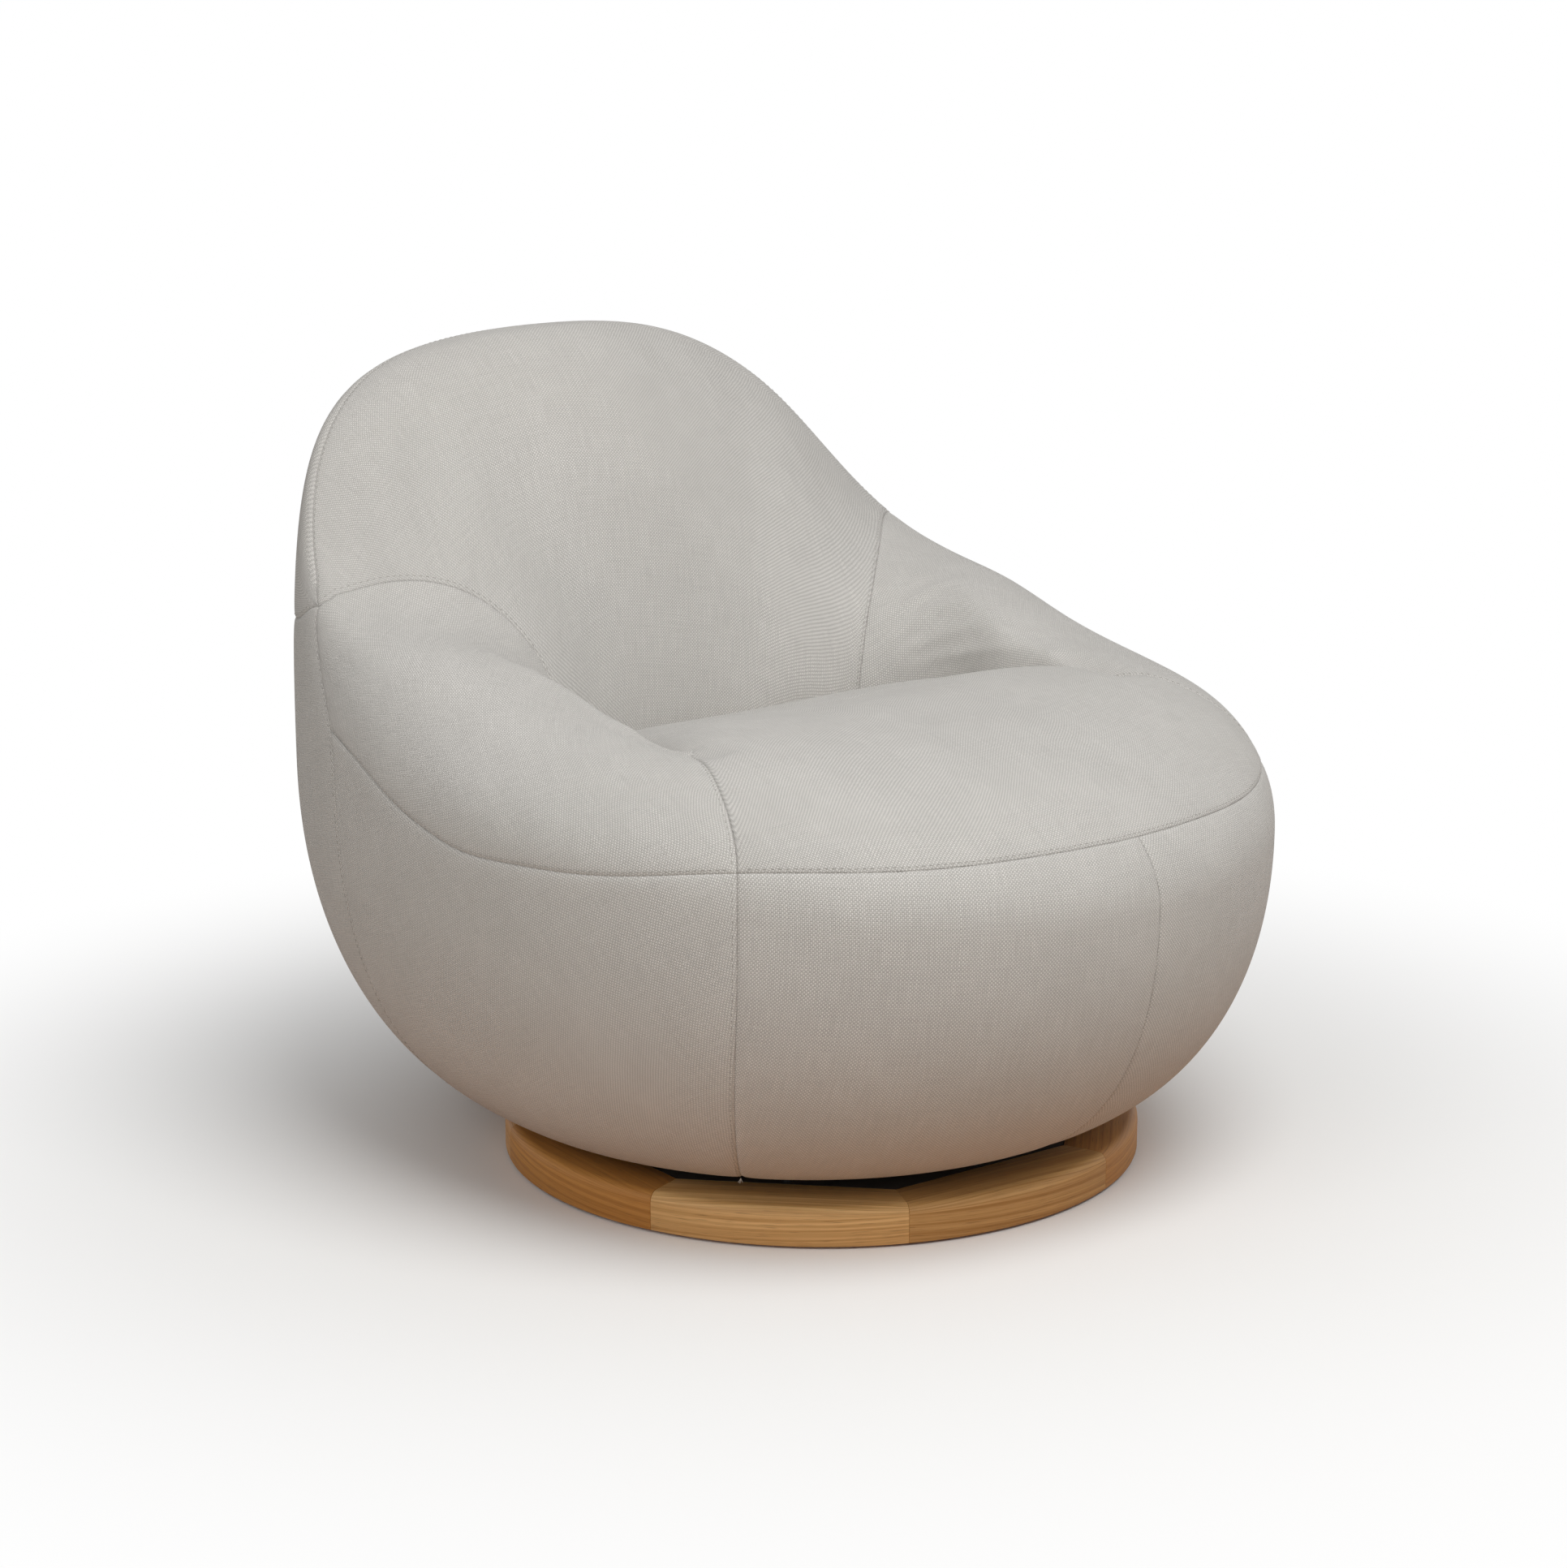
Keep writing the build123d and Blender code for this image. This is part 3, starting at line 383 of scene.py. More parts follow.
@dataclass
class TubForm:
    """Surface of the upholstered tub, in millimetres.

    A section at any angle runs from the foot of the bowl (0) to the widest point (1), the crest (2) and the
    fold where the inner face meets the seat (3), each run a quarter of a full oval.
    """

    middle_y: float = 41.7
    half_width: float = 400.0
    front_reach: float = 439.9
    rear_reach: float = 444.8
    front_fullness: float = 2.13
    rear_fullness: float = 2.445
    foot_r: float = 225.0
    foot_z: float = 40.0
    bowl_fullness: float = 2.167
    shoulder_front: float = 2.11
    shoulder_rear: float = 3.281
    face_fullness: float = 2.37
    back_fullness: float = 1.55
    back_from: float = 118.0
    back_blend: float = 32.0
    widest_mid_z: float = 330.1
    widest_tilt: float = 26.8
    widest_wave: float = 10.6
    fold_start: float = 58.0
    fold_blend: float = 25.0
    seat_z: float = 432.0
    seat_slope: float = 0.22
    seat_break_y: float = -170.0
    seat_break_round: float = 70.0
    seat_dish: float = 30.0
    seat_dish_reach: float = 290.0
    front_roll: int = 6
    fold_roll: float = 2.9
    fold_roll_fullness: float = 2.2
    crest_r: Track = Track(
        ROUND_KEYS, (189, 203, 245, 274, 277, 268, 257, 256, 298, 336, 369, 398.5, 418, 420, 392, 348, 328))
    crest_z: Track = Track(
        ROUND_KEYS,
        (418, 418, 420, 421, 421, 423, 430, 445.5, 466, 474.5, 484.5, 505.5, 547, 619, 679, 704, 709))
    fold_r: Track = Track(FOLD_KEYS, (277, 268, 252, 235, 230, 212, 170, 146))
    fold_z: Track = Track(FOLD_KEYS, (421, 411, 396, 383, 374, 350, 337, 333))

    def widest_r(self, angle: np.ndarray) -> np.ndarray:
        """Radius of the widest outline.

        Args:
            angle: Angles round the tub.
        Returns:
            Radius at each angle.
        """
        side = np.abs(np.sin(np.radians(angle)))
        ahead = np.cos(np.radians(angle))
        reach = np.where(ahead > 0, self.front_reach, self.rear_reach)
        full = np.where(ahead > 0, self.front_fullness, self.rear_fullness)
        return ((side / self.half_width) ** full + (np.abs(ahead) / reach) ** full) ** (-1 / full)

    def widest_z(self, angle: np.ndarray) -> np.ndarray:
        """Height of the widest point at an angle."""
        turn = np.radians(angle)
        return self.widest_mid_z - self.widest_tilt * np.cos(turn) - self.widest_wave * np.cos(2 * turn)

    def shoulder(self, angle: np.ndarray) -> np.ndarray:
        """Fullness of the run from the widest point to the crest."""
        back = (1 - np.cos(np.radians(angle))) / 2
        return self.shoulder_front + (self.shoulder_rear - self.shoulder_front) * back

    def face(self, angle: np.ndarray) -> np.ndarray:
        """Fullness of the run from the crest to the fold, rounder on the arms than on the back.

        Args:
            angle: Angles round the tub.
        Returns:
            Fullness at each angle.
        """
        turn = np.abs((np.asarray(angle, float) + 180) % 360 - 180)
        back = np.clip((turn - self.back_from) / self.back_blend, 0, 1)
        return self.face_fullness + (self.back_fullness - self.face_fullness) * back * back * (3 - 2 * back)

    def spot(self, angle: np.ndarray, radius: np.ndarray, z: np.ndarray) -> np.ndarray:
        """Point at an angle, radius and height."""
        x, y = radius * np.sin(np.radians(angle)), self.middle_y - radius * np.cos(np.radians(angle))
        return np.stack(np.broadcast_arrays(x, y, z), -1)

    def wall(self, angle: np.ndarray, along: np.ndarray) -> np.ndarray:
        """Points on the wall.

        Args:
            angle: Angles round the tub.
            along: Places on the sections, from 0 to 3.
        Returns:
            Points with x, y and z in the last axis.
        """
        angle, along = np.broadcast_arrays(np.asarray(angle, float), np.asarray(along, float))
        low, mid, top = (np.clip(along - k, 0, 1) * np.pi / 2 for k in (0, 1, 2))
        out_r, out_z = self.widest_r(angle), self.widest_z(angle)
        top_r, top_z = self.crest_r(angle), self.crest_z(angle)
        in_r, in_z = self.fold_r(angle), self.fold_z(angle)
        e0, e1, e2 = 2 / self.bowl_fullness, 2 / self.shoulder(angle), 2 / self.face(angle)
        sine = [np.maximum(np.sin(a), 0) for a in (low, mid, top)]
        cosine = [np.maximum(np.cos(a), 0) for a in (low, mid, top)]
        r = np.where(along <= 1, self.foot_r + (out_r - self.foot_r) * sine[0] ** e0, np.where(
            along <= 2, top_r + (out_r - top_r) * cosine[1] ** e1, top_r - (top_r - in_r) * sine[2] ** e2))
        z = np.where(along <= 1, out_z - (out_z - self.foot_z) * cosine[0] ** e0, np.where(
            along <= 2, out_z + (top_z - out_z) * sine[1] ** e1, in_z + (top_z - in_z) * cosine[2] ** e2))
        return self.spot(angle, r, z)

    def along_at(self, angle: np.ndarray, z: np.ndarray) -> np.ndarray:
        """Place on the outside of the section that lies at a height.

        Args:
            angle: Angles round the tub.
            z: Height at each angle.
        Returns:
            Place on each section, from 0 to 2.
        """
        out_z, top_z = self.widest_z(angle), self.crest_z(angle)
        under = np.clip((out_z - z) / (out_z - self.foot_z), 0, 1)
        above = np.clip((z - out_z) / (top_z - out_z), 0, 1)
        low = np.arccos(under ** (self.bowl_fullness / 2)) / (np.pi / 2)
        high = 1 + np.arcsin(above ** (self.shoulder(angle) / 2)) / (np.pi / 2)
        return np.where(z < out_z, low, high)

    def seat_top(self, x: np.ndarray, y: np.ndarray) -> np.ndarray:
        """Height of the seat before it rolls into the fold.

        It is level in front, falls to the back and is dished across.

        Args:
            x: Places across the seat.
            y: Places along the seat.
        Returns:
            Height at each place.
        """
        back, soft = y - self.seat_break_y, self.seat_break_round
        fall = self.seat_slope * (np.sqrt(back * back + soft * soft) + back - soft) / 2
        return self.seat_z - fall + self.seat_dish * (x / self.seat_dish_reach) ** 2

    def seat(self, angle: np.ndarray, share: np.ndarray) -> np.ndarray:
        """Points on the seat.

        Args:
            angle: Angles round the tub's middle.
            share: Distance from the middle as a share of the way to the crest or the fold.
        Returns:
            Points with x, y and z in the last axis.
        """
        angle, share = np.broadcast_arrays(np.asarray(angle, float), np.asarray(share, float))
        ahead = np.abs(angle) < self.fold_start
        rim = self.spot(
            angle,
            np.where(ahead, self.crest_r(angle), self.fold_r(angle)),
            np.where(ahead, self.crest_z(angle), self.fold_z(angle)),
        )
        drop = self.seat_top(rim[..., 0], rim[..., 1]) - rim[..., 2]
        blend = np.clip((np.abs(angle) - self.fold_start) / self.fold_blend, 0, 1)
        blend = blend * blend * (3 - 2 * blend)
        roll = 1 - np.maximum(1 - share**self.fold_roll, 0) ** (1 / self.fold_roll_fullness)
        x = share * rim[..., 0]
        y = self.middle_y + share * (rim[..., 1] - self.middle_y)
        z = self.seat_top(x, y) - drop * (share**self.front_roll * (1 - blend) + roll * blend)
        return np.stack([x, y, z], -1)


@dataclass
class SeamPlan:
    """Where the cover's seams run on the tub, as the photograph shows them.

    Seams that go up the tub give an angle at a place on the section, those that go round it a height or a
    place on the section at an angle.
    """

    middle_front: float = 1.8
    corner: float = 1.74
    front: Track = Track((0.0, 0.32, 0.64, 0.9, 1.18), (50, 49, 48, 47.2, 47.2))
    seat_side: Track = Track(
        (1.18, 1.31, 1.465, 1.63, 1.79, 1.885, 2.0), (47.2, 47.5, 48.6, 50.5, 53.2, 55.6, 58))
    rear: Track = Track(
        (0.0, 0.6, 1.0, 1.2, 1.42, 1.57, 1.74), (113.0, 111.8, 111.6, 113.6, 118.3, 121.4, 123.5))
    over_left: Track = Track(
        (1.74, 1.88, 2.02, 2.09, 2.16, 2.24, 2.32, 2.476, 2.64, 2.78, 2.87, 3.0),
        (123.5, 124.3, 124.6, 124.0, 123.2, 122.4, 121.7, 120.6, 120.0, 119.8, 119.9, 120.2))
    over_right: Track = Track(
        (1.74, 1.85, 1.96, 2.025, 2.09, 2.16, 2.23, 2.3, 2.376, 2.455, 2.545, 2.75, 3.0),
        (123.5, 123.35, 123.6, 124.5, 125.6, 126.6, 127.4, 128.0, 128.4, 128.45, 128.0, 125.0, 121.5))
    belt_z: Track = Track(
        (0, 14, 28, 40, 47.4, 53, 58, 63, 70, 77, 84, 90.5, 97, 103, 109, 113.3, 118),
        (352, 352, 351, 351.8, 350.2, 346.8, 342.6, 338.8, 336.3,
         335.3, 336.3, 345.4, 359, 377, 392.7, 401, 406))
    level_z: Track = Track((123.5, 126, 131, 145, 180), (495, 486, 474, 465, 461))
    crest: Track = Track(
        (123.5, 126, 129, 132, 138, 142, 151, 165, 180),
        (1.75, 1.85, 1.935, 1.97, 1.975, 1.97, 1.925, 1.9, 1.89))

    def back_side(self, side: Side) -> Curve:
        """Angle of the seam behind an arm, which goes on over the crest to the fold.

        Args:
            side: The arm's side.
        Returns:
            Curve that gives the angle, positive on both sides, at a place on the section.
        """
        over = self.over_left if side is Side.LEFT else self.over_right

        def angle(along: np.ndarray) -> np.ndarray:
            """Angle at some places on the section."""
            return np.where(along < self.corner, self.rear(along), over(along))

        return angle


# Distances from a seam at which the first grid lines lie, and the length below which lines are spaced evenly
EDGE_LINES = (0.0, 1.4, 3.2, 6.0)
SHORT_MM = 30.0


def foot_line(angle: np.ndarray) -> np.ndarray:
    """Place of the bowl's foot on the section."""
    return np.zeros_like(np.asarray(angle, float))


def fold_line(angle: np.ndarray) -> np.ndarray:
    """Place of the fold round the seat on the section."""
    return np.full_like(np.asarray(angle, float), 3.0)


def held(value: float) -> Curve:
    """Curve that has one value everywhere.

    Args:
        value: The value.
    Returns:
        The curve.
    """

    def curve(place: np.ndarray) -> np.ndarray:
        """The value at some places."""
        return np.full_like(place, value)

    return curve


def opposite(curve: Curve) -> Curve:
    """Curve on the far side of the tub, with angles counted on past the back.

    Args:
        curve: Curve that gives an angle on one side.
    Returns:
        The curve mirrored.
    """

    def mirrored(place: np.ndarray) -> np.ndarray:
        """The mirrored angle at some places."""
        return 360 - curve(place)

    return mirrored


def graded(length: np.ndarray, cells: int) -> np.ndarray:
    """Shares of a length at which grid lines lie, closer together beside the seams at its ends.

    Args:
        length: Length or lengths in millimetres.
        cells: Number of cells.
    Returns:
        Shares from 0 to 1, with the grid lines in the first axis.
    """
    length = np.maximum(np.asarray(length, float), 1e-6)
    even = np.linspace(0, 1, cells + 1).reshape((-1,) + (1,) * length.ndim)
    edge = np.array(EDGE_LINES).reshape((-1,) + (1,) * length.ndim) / length
    inner = np.linspace(0, 1, cells - 5).reshape(even[:cells - 5].shape)
    lines = np.concatenate([edge[:3], edge[3:] + (1 - 2 * edge[3:]) * inner, 1 - edge[2::-1]], 0)
    return np.where(length > SHORT_MM, lines, even * np.ones_like(length))


def run_length(points: np.ndarray, axis: int) -> np.ndarray:
    """Distance along a grid's lines from their start.

    Args:
        points: Grid of points, or one line of them.
        axis: Axis that the lines follow.
    Returns:
        Distance at each point.
    """
    steps = np.linalg.norm(np.diff(points, axis=axis), axis=-1)
    start = np.zeros_like(np.take(steps, [0], axis=axis))
    return np.concatenate([start, np.cumsum(steps, axis=axis)], axis)


def at_stops(stops: np.ndarray, run: np.ndarray, values: np.ndarray) -> np.ndarray:
    """Points or normals of a line at some distances from its start, where run is its points' distance."""
    return np.stack([np.interp(stops, run, values[:, c]) for c in range(3)], -1)


def spread(mesh: bpy.types.Mesh, name: str, places: np.ndarray) -> None:
    """Gives a mesh a set of texture coordinates.

    Args:
        mesh: The mesh.
        name: Name of the set.
        places: Two coordinates for each vertex.
    """
    corner = np.empty(len(mesh.loops), np.int32)
    mesh.loops.foreach_get("vertex_index", corner)
    mesh.uv_layers.new(name=name).data.foreach_set("uv", places[corner].astype(np.float32).ravel())


@dataclass
class Wrinkle:
    """A pulled ridge or crease in the cloth along a line of points in millimetres."""

    line: Sequence[tuple[float, float, float]]
    height: float
    width: float
    push: tuple[float, float, float] | None = None

    def shift(self, points: np.ndarray, normals: np.ndarray) -> np.ndarray:
        """How the wrinkle moves the cloth: along its own normals, or all one way if push is given.

        Args:
            points: Points of the cloth, in millimetres.
            normals: Normals at those points.
        Returns:
            Movement of each point in millimetres.
        """
        way = normals if self.push is None else np.asarray(self.push, float)
        return self.lift(points)[..., None] * way

    def lift(self, points: np.ndarray) -> np.ndarray:
        """How far the wrinkle lifts the cloth.

        Args:
            points: Points of the cloth, in millimetres.
        Returns:
            Lift at each point, fading across the wrinkle and towards its ends.
        """
        path = np.asarray(self.line, float)
        best = np.full(points.shape[:-1], 1e9)
        taper = np.zeros(points.shape[:-1])
        count = len(path) - 1
        for i in range(count):
            a, b = path[i], path[i + 1]
            t = np.clip(((points - a) @ (b - a)) / ((b - a) @ (b - a)), 0, 1)
            gap = np.linalg.norm(points - (a + t[..., None] * (b - a)), axis=-1)
            nearer = gap < best
            best = np.where(nearer, gap, best)
            taper = np.where(nearer, np.sin(np.pi * (i + t) / count) ** 0.7, taper)
        return self.height * np.exp(-((best / self.width) ** 2)) * taper


@dataclass
class CoverPanel:
    """One sewn panel of the cover with the foam behind it, as a grid of points in millimetres.

    Rows run from the panel's lower or rear edge to its upper or front edge, columns from its left edge to its
    right. tuck gives how deep the seams at the first row, last row, first column and last column are: one
    depth, or one for each row or column. A seam is a narrow groove with a wider slope beside it.
    """

    # A panel's back and its simulated fill have one cell where its face has this many
    SPLIT = 3
    BACKING_MM = 9.0
    GROOVE_MM = 1.8
    GROOVE_POWER = 1.3
    SLOPE_MM = 9.0
    SLOPE_SHARE = 0.35

    name: str
    nodes: tuple[str, ...]
    points: np.ndarray
    weave_angle: float
    tuck: tuple[float | np.ndarray, ...] = (1.3, 1.3, 1.3, 1.3)
    stitched: tuple[Edge, ...] = ()
    wrinkles: list[Wrinkle] = field(default_factory=list)
    swell: np.ndarray | None = None

    def __post_init__(self) -> None:
        """Measures the panel's normals and its lengths along the grid."""
        self.normals = self.measure_normals(self.points)
        self.up = run_length(self.points, 0)
        self.across = run_length(self.points, 1)

    @staticmethod
    def measure_normals(points: np.ndarray) -> np.ndarray:
        """Unit normals of a grid, on the side where its columns turn to its rows.

        They are evened out by area, so that cells squeezed into a corner follow their neighbours.

        Args:
            points: Grid of points.
        Returns:
            Unit normal at each point.
        """
        cross = np.cross(np.gradient(points, axis=1), np.gradient(points, axis=0))
        for _ in range(4):
            wide = np.pad(cross, ((1, 1), (1, 1), (0, 0)), mode="edge")
            cross = (wide[:-2, 1:-1] + wide[2:, 1:-1] + wide[1:-1, :-2] + wide[1:-1, 2:] + 2 * cross) / 6
        return cross / np.maximum(np.linalg.norm(cross, axis=-1, keepdims=True), 1e-9)

    def seam_gaps(self) -> tuple[np.ndarray, np.ndarray, np.ndarray, np.ndarray]:
        """Distances of every point from the panel's four edges along the grid."""
        return self.up, self.up[-1:] - self.up, self.across, self.across[:, -1:] - self.across

    def shaped(self) -> np.ndarray:
        """The panel's finished points: swollen, wrinkled and pulled in at its seams.

        Returns:
            Grid of points in millimetres.
        """
        lift = np.zeros(self.points.shape[:2])
        if self.swell is not None:
            rows, cols = (np.arange(n) / self.SPLIT for n in self.points.shape[:2])
            coarse = self.swell
            along = np.stack([np.interp(rows, np.arange(coarse.shape[0]), c) for c in coarse.T], 1)
            lift += np.stack([np.interp(cols, np.arange(coarse.shape[1]), r) for r in along], 0)
        pull = np.zeros_like(lift)
        for gap, depth in zip(self.seam_gaps(), self.tuck):
            groove = depth * np.exp(-((gap / self.GROOVE_MM) ** self.GROOVE_POWER))
            slope = self.SLOPE_SHARE * depth * np.exp(-((gap / self.SLOPE_MM) ** 2))
            pull = np.maximum(pull, groove + slope)
        shape = self.points + self.normals * (lift - pull)[..., None]
        for wrinkle in self.wrinkles:
            shape += wrinkle.shift(self.points, self.normals)
        return shape

    def stitch_line(self, edge: Edge) -> tuple[np.ndarray, np.ndarray]:
        """Points and normals of the grid line just inside an edge, on which its stitches lie.

        Args:
            edge: The edge.
        Returns:
            Points and unit normals along the line.
        """
        pick = {
            Edge.LOW: np.s_[2, 2:-2], Edge.HIGH: np.s_[-3, 2:-2],
            Edge.FIRST: np.s_[2:-2, 2], Edge.LAST: np.s_[2:-2, -3],
        }[edge]
        return self.shaped()[pick], self.normals[pick]

    def weave_places(self) -> np.ndarray:
        """Weave coordinates: lengths along the cloth, turned to the panel's cut.

        Returns:
            Two coordinates in metres at each point.
        """
        row, col = self.points.shape[0] // 2, self.points.shape[1] // 2
        u = self.across - self.across[:, col:col + 1]
        v = self.up - self.up[row:row + 1]
        turn = math.radians(self.weave_angle)
        across = u * math.cos(turn) - v * math.sin(turn)
        along = u * math.sin(turn) + v * math.cos(turn)
        return np.stack([across, along], -1) * MM

    def build(self, cloth: bpy.types.Material) -> bpy.types.Object:
        """Makes the panel's closed mesh, dresses it and puts it on the seat.

        Args:
            cloth: The cover's material.
        Returns:
            The panel's object.
        """
        face, k = self.shaped(), self.SPLIT
        back = (face - self.normals * self.BACKING_MM)[::k, ::k]
        front_id = np.arange(face.shape[0] * face.shape[1]).reshape(face.shape[:2])
        back_id = front_id.size + np.arange(back.shape[0] * back.shape[1]).reshape(back.shape[:2])
        quads = [np.stack([front_id[:-1, :-1], front_id[:-1, 1:], front_id[1:, 1:], front_id[1:, :-1]], -1)]
        quads.append(np.stack([back_id[:-1, :-1], back_id[1:, :-1], back_id[1:, 1:], back_id[:-1, 1:]], -1))
        faces = [tuple(q) for grid in quads for q in grid.reshape(-1, 4).tolist()]
        loops = (
            (front_id[0], back_id[0], False), (front_id[-1], back_id[-1], True),
            (front_id[:, 0], back_id[:, 0], True), (front_id[:, -1], back_id[:, -1], False),
        )
        for fine, coarse, forward in loops:
            for i in range(len(coarse) - 1):
                f, a, b = [int(x) for x in fine[k * i:k * i + k + 1]], int(coarse[i]), int(coarse[i + 1])
                rim = [(f[0], a, f[1]), (f[1], a, b, f[2]), (f[2], b, f[3])]
                faces += [r if not forward else r[::-1] for r in rim]
        mesh = bpy.data.meshes.new(self.name)
        points = np.concatenate([face.reshape(-1, 3), back.reshape(-1, 3)])
        mesh.from_pydata((points * MM).tolist(), [], faces)
        places = self.weave_places()
        every = np.concatenate([places.reshape(-1, 2), places[::k, ::k].reshape(-1, 2)])
        spread(mesh, "weave", every)
        mesh.polygons.foreach_set("use_smooth", np.ones(len(mesh.polygons), bool))
        mesh.materials.append(cloth)
        mesh.update()
        obj = bpy.data.objects.new(self.name, mesh)
        bpy.context.scene.collection.objects.link(obj)
        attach(obj, Body.SEAT.value)
        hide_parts(*self.nodes)
        LOG.info("%s: %d faces", self.name, len(mesh.polygons))
        return obj


@dataclass
class SeamStitches:
    """Stitches beside the seams and a few loose thread ends, as small capsules, in millimetres."""

    pitch: float = 6.0
    length: float = 3.0
    thick: float = 0.55
    jitter: float = 0.09
    stand: float = 0.05
    seed: int = 7
    loose_length: float = 5.0
    loose_thick: float = 0.5
    loose_drop: float = 2.0
    loose_ways: tuple[tuple[float, float, float], ...] = (
        (-0.5, -0.3, -0.8), (-0.2, -0.75, -0.6), (-0.75, -0.1, -0.65))
    # Spun polyester, twisted and dyed: a dull grey a little darker than the cloth
    thread: PlainFinish = PlainFinish("polyester_sewing_thread", "A8A49E", "8F8B85", 0.6, 0.8, relief_mm=0.02)
    # The same thread where it is cut and frayed: paler, because its fibres stand apart
    loose: PlainFinish = PlainFinish("loose_thread_end", "EFEDE9", "DAD7D2", 0.6, 0.85, relief_mm=0.02)

    def capsules(
        self, middle: np.ndarray, along: np.ndarray, out: np.ndarray, length: float, thick: float,
    ) -> tuple[np.ndarray, list[list[int]]]:
        """Points and faces of one capsule at every place.

        Args:
            middle: Middles of the capsules.
            along: Unit directions of their length.
            out: Unit normals of the cloth under them.
            length: Length of a capsule.
            thick: Thickness of a capsule.
        Returns:
            Points and faces.
        """
        side = np.cross(out, along)
        turn = np.radians(np.arange(6) * 60)[None, :, None]
        round_it = np.cos(turn) * side[:, None] + np.sin(turn) * out[:, None]
        rings = []
        for place, share in ((-0.5, 0.35), (-0.32, 1.0), (0.32, 1.0), (0.5, 0.35)):
            rings.append(middle[:, None] + along[:, None] * place * length + round_it * share * thick / 2)
        points = np.stack(rings, 1)
        ids = np.arange(24).reshape(4, 6)
        after = np.roll(ids, -1, axis=1)
        quads = np.stack([ids[:-1], after[:-1], after[1:], ids[1:]], -1).reshape(-1, 4)
        faces = []
        for start in range(0, 24 * len(middle), 24):
            faces += (quads + start).tolist()
            faces += [(ids[0][::-1] + start).tolist(), (ids[-1] + start).tolist()]
        return points.reshape(-1, 3), faces

    def make(self, name: str, points: np.ndarray, faces: list[list[int]], finish: PlainFinish) -> None:
        """Makes one object of thread that rides on the seat.

        Args:
            name: Name of the object.
            points: Points in millimetres.
            faces: Faces.
            finish: The thread's finish.
        """
        mesh = bpy.data.meshes.new(name)
        mesh.from_pydata((points * MM).tolist(), [], faces)
        mesh.polygons.foreach_set("use_smooth", np.ones(len(mesh.polygons), bool))
        mesh.materials.append(finish.material())
        obj = bpy.data.objects.new(name, mesh)
        bpy.context.scene.collection.objects.link(obj)
        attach(obj, Body.SEAT.value)
        LOG.info("%s: %d faces", name, len(faces))

    def build(self, panels: Sequence[CoverPanel], loose_at: np.ndarray) -> None:
        """Sews the stitches along the panels' stitched edges.

        Args:
            panels: Panels of the cover.
            loose_at: Place from which loose thread ends hang.
        """
        chance = np.random.default_rng(self.seed)
        middles, alongs, outs = [], [], []
        for panel in panels:
            for edge in panel.stitched:
                line, normals = panel.stitch_line(edge)
                run = run_length(line, 0)
                stops = np.arange(self.pitch, run[-1] - self.pitch / 2, self.pitch)
                ends = [at_stops(stops + ahead, run, line) for ahead in (-0.5, 0.5)]
                out = at_stops(stops, run, normals)
                along = (ends[1] - ends[0]) / np.linalg.norm(ends[1] - ends[0], axis=-1, keepdims=True)
                along += np.cross(out, along) * chance.normal(0, self.jitter, len(stops))[:, None]
                middles.append((ends[0] + ends[1]) / 2 + out * self.stand)
                alongs.append(along / np.linalg.norm(along, axis=-1, keepdims=True))
                outs.append(out / np.linalg.norm(out, axis=-1, keepdims=True))
        points, faces = self.capsules(
            np.concatenate(middles), np.concatenate(alongs), np.concatenate(outs), self.length, self.thick)
        self.make("seam_stitches", points, faces, self.thread)
        hang = np.array(self.loose_ways)
        hang /= np.linalg.norm(hang, axis=-1, keepdims=True)
        out = np.cross(hang, (0.3, -0.4, 0.9))
        out /= np.linalg.norm(out, axis=-1, keepdims=True)
        points, faces = self.capsules(
            loose_at + hang * self.loose_drop, hang, out, self.loose_length, self.loose_thick)
        self.make("loose_thread_ends", points, faces, self.loose)


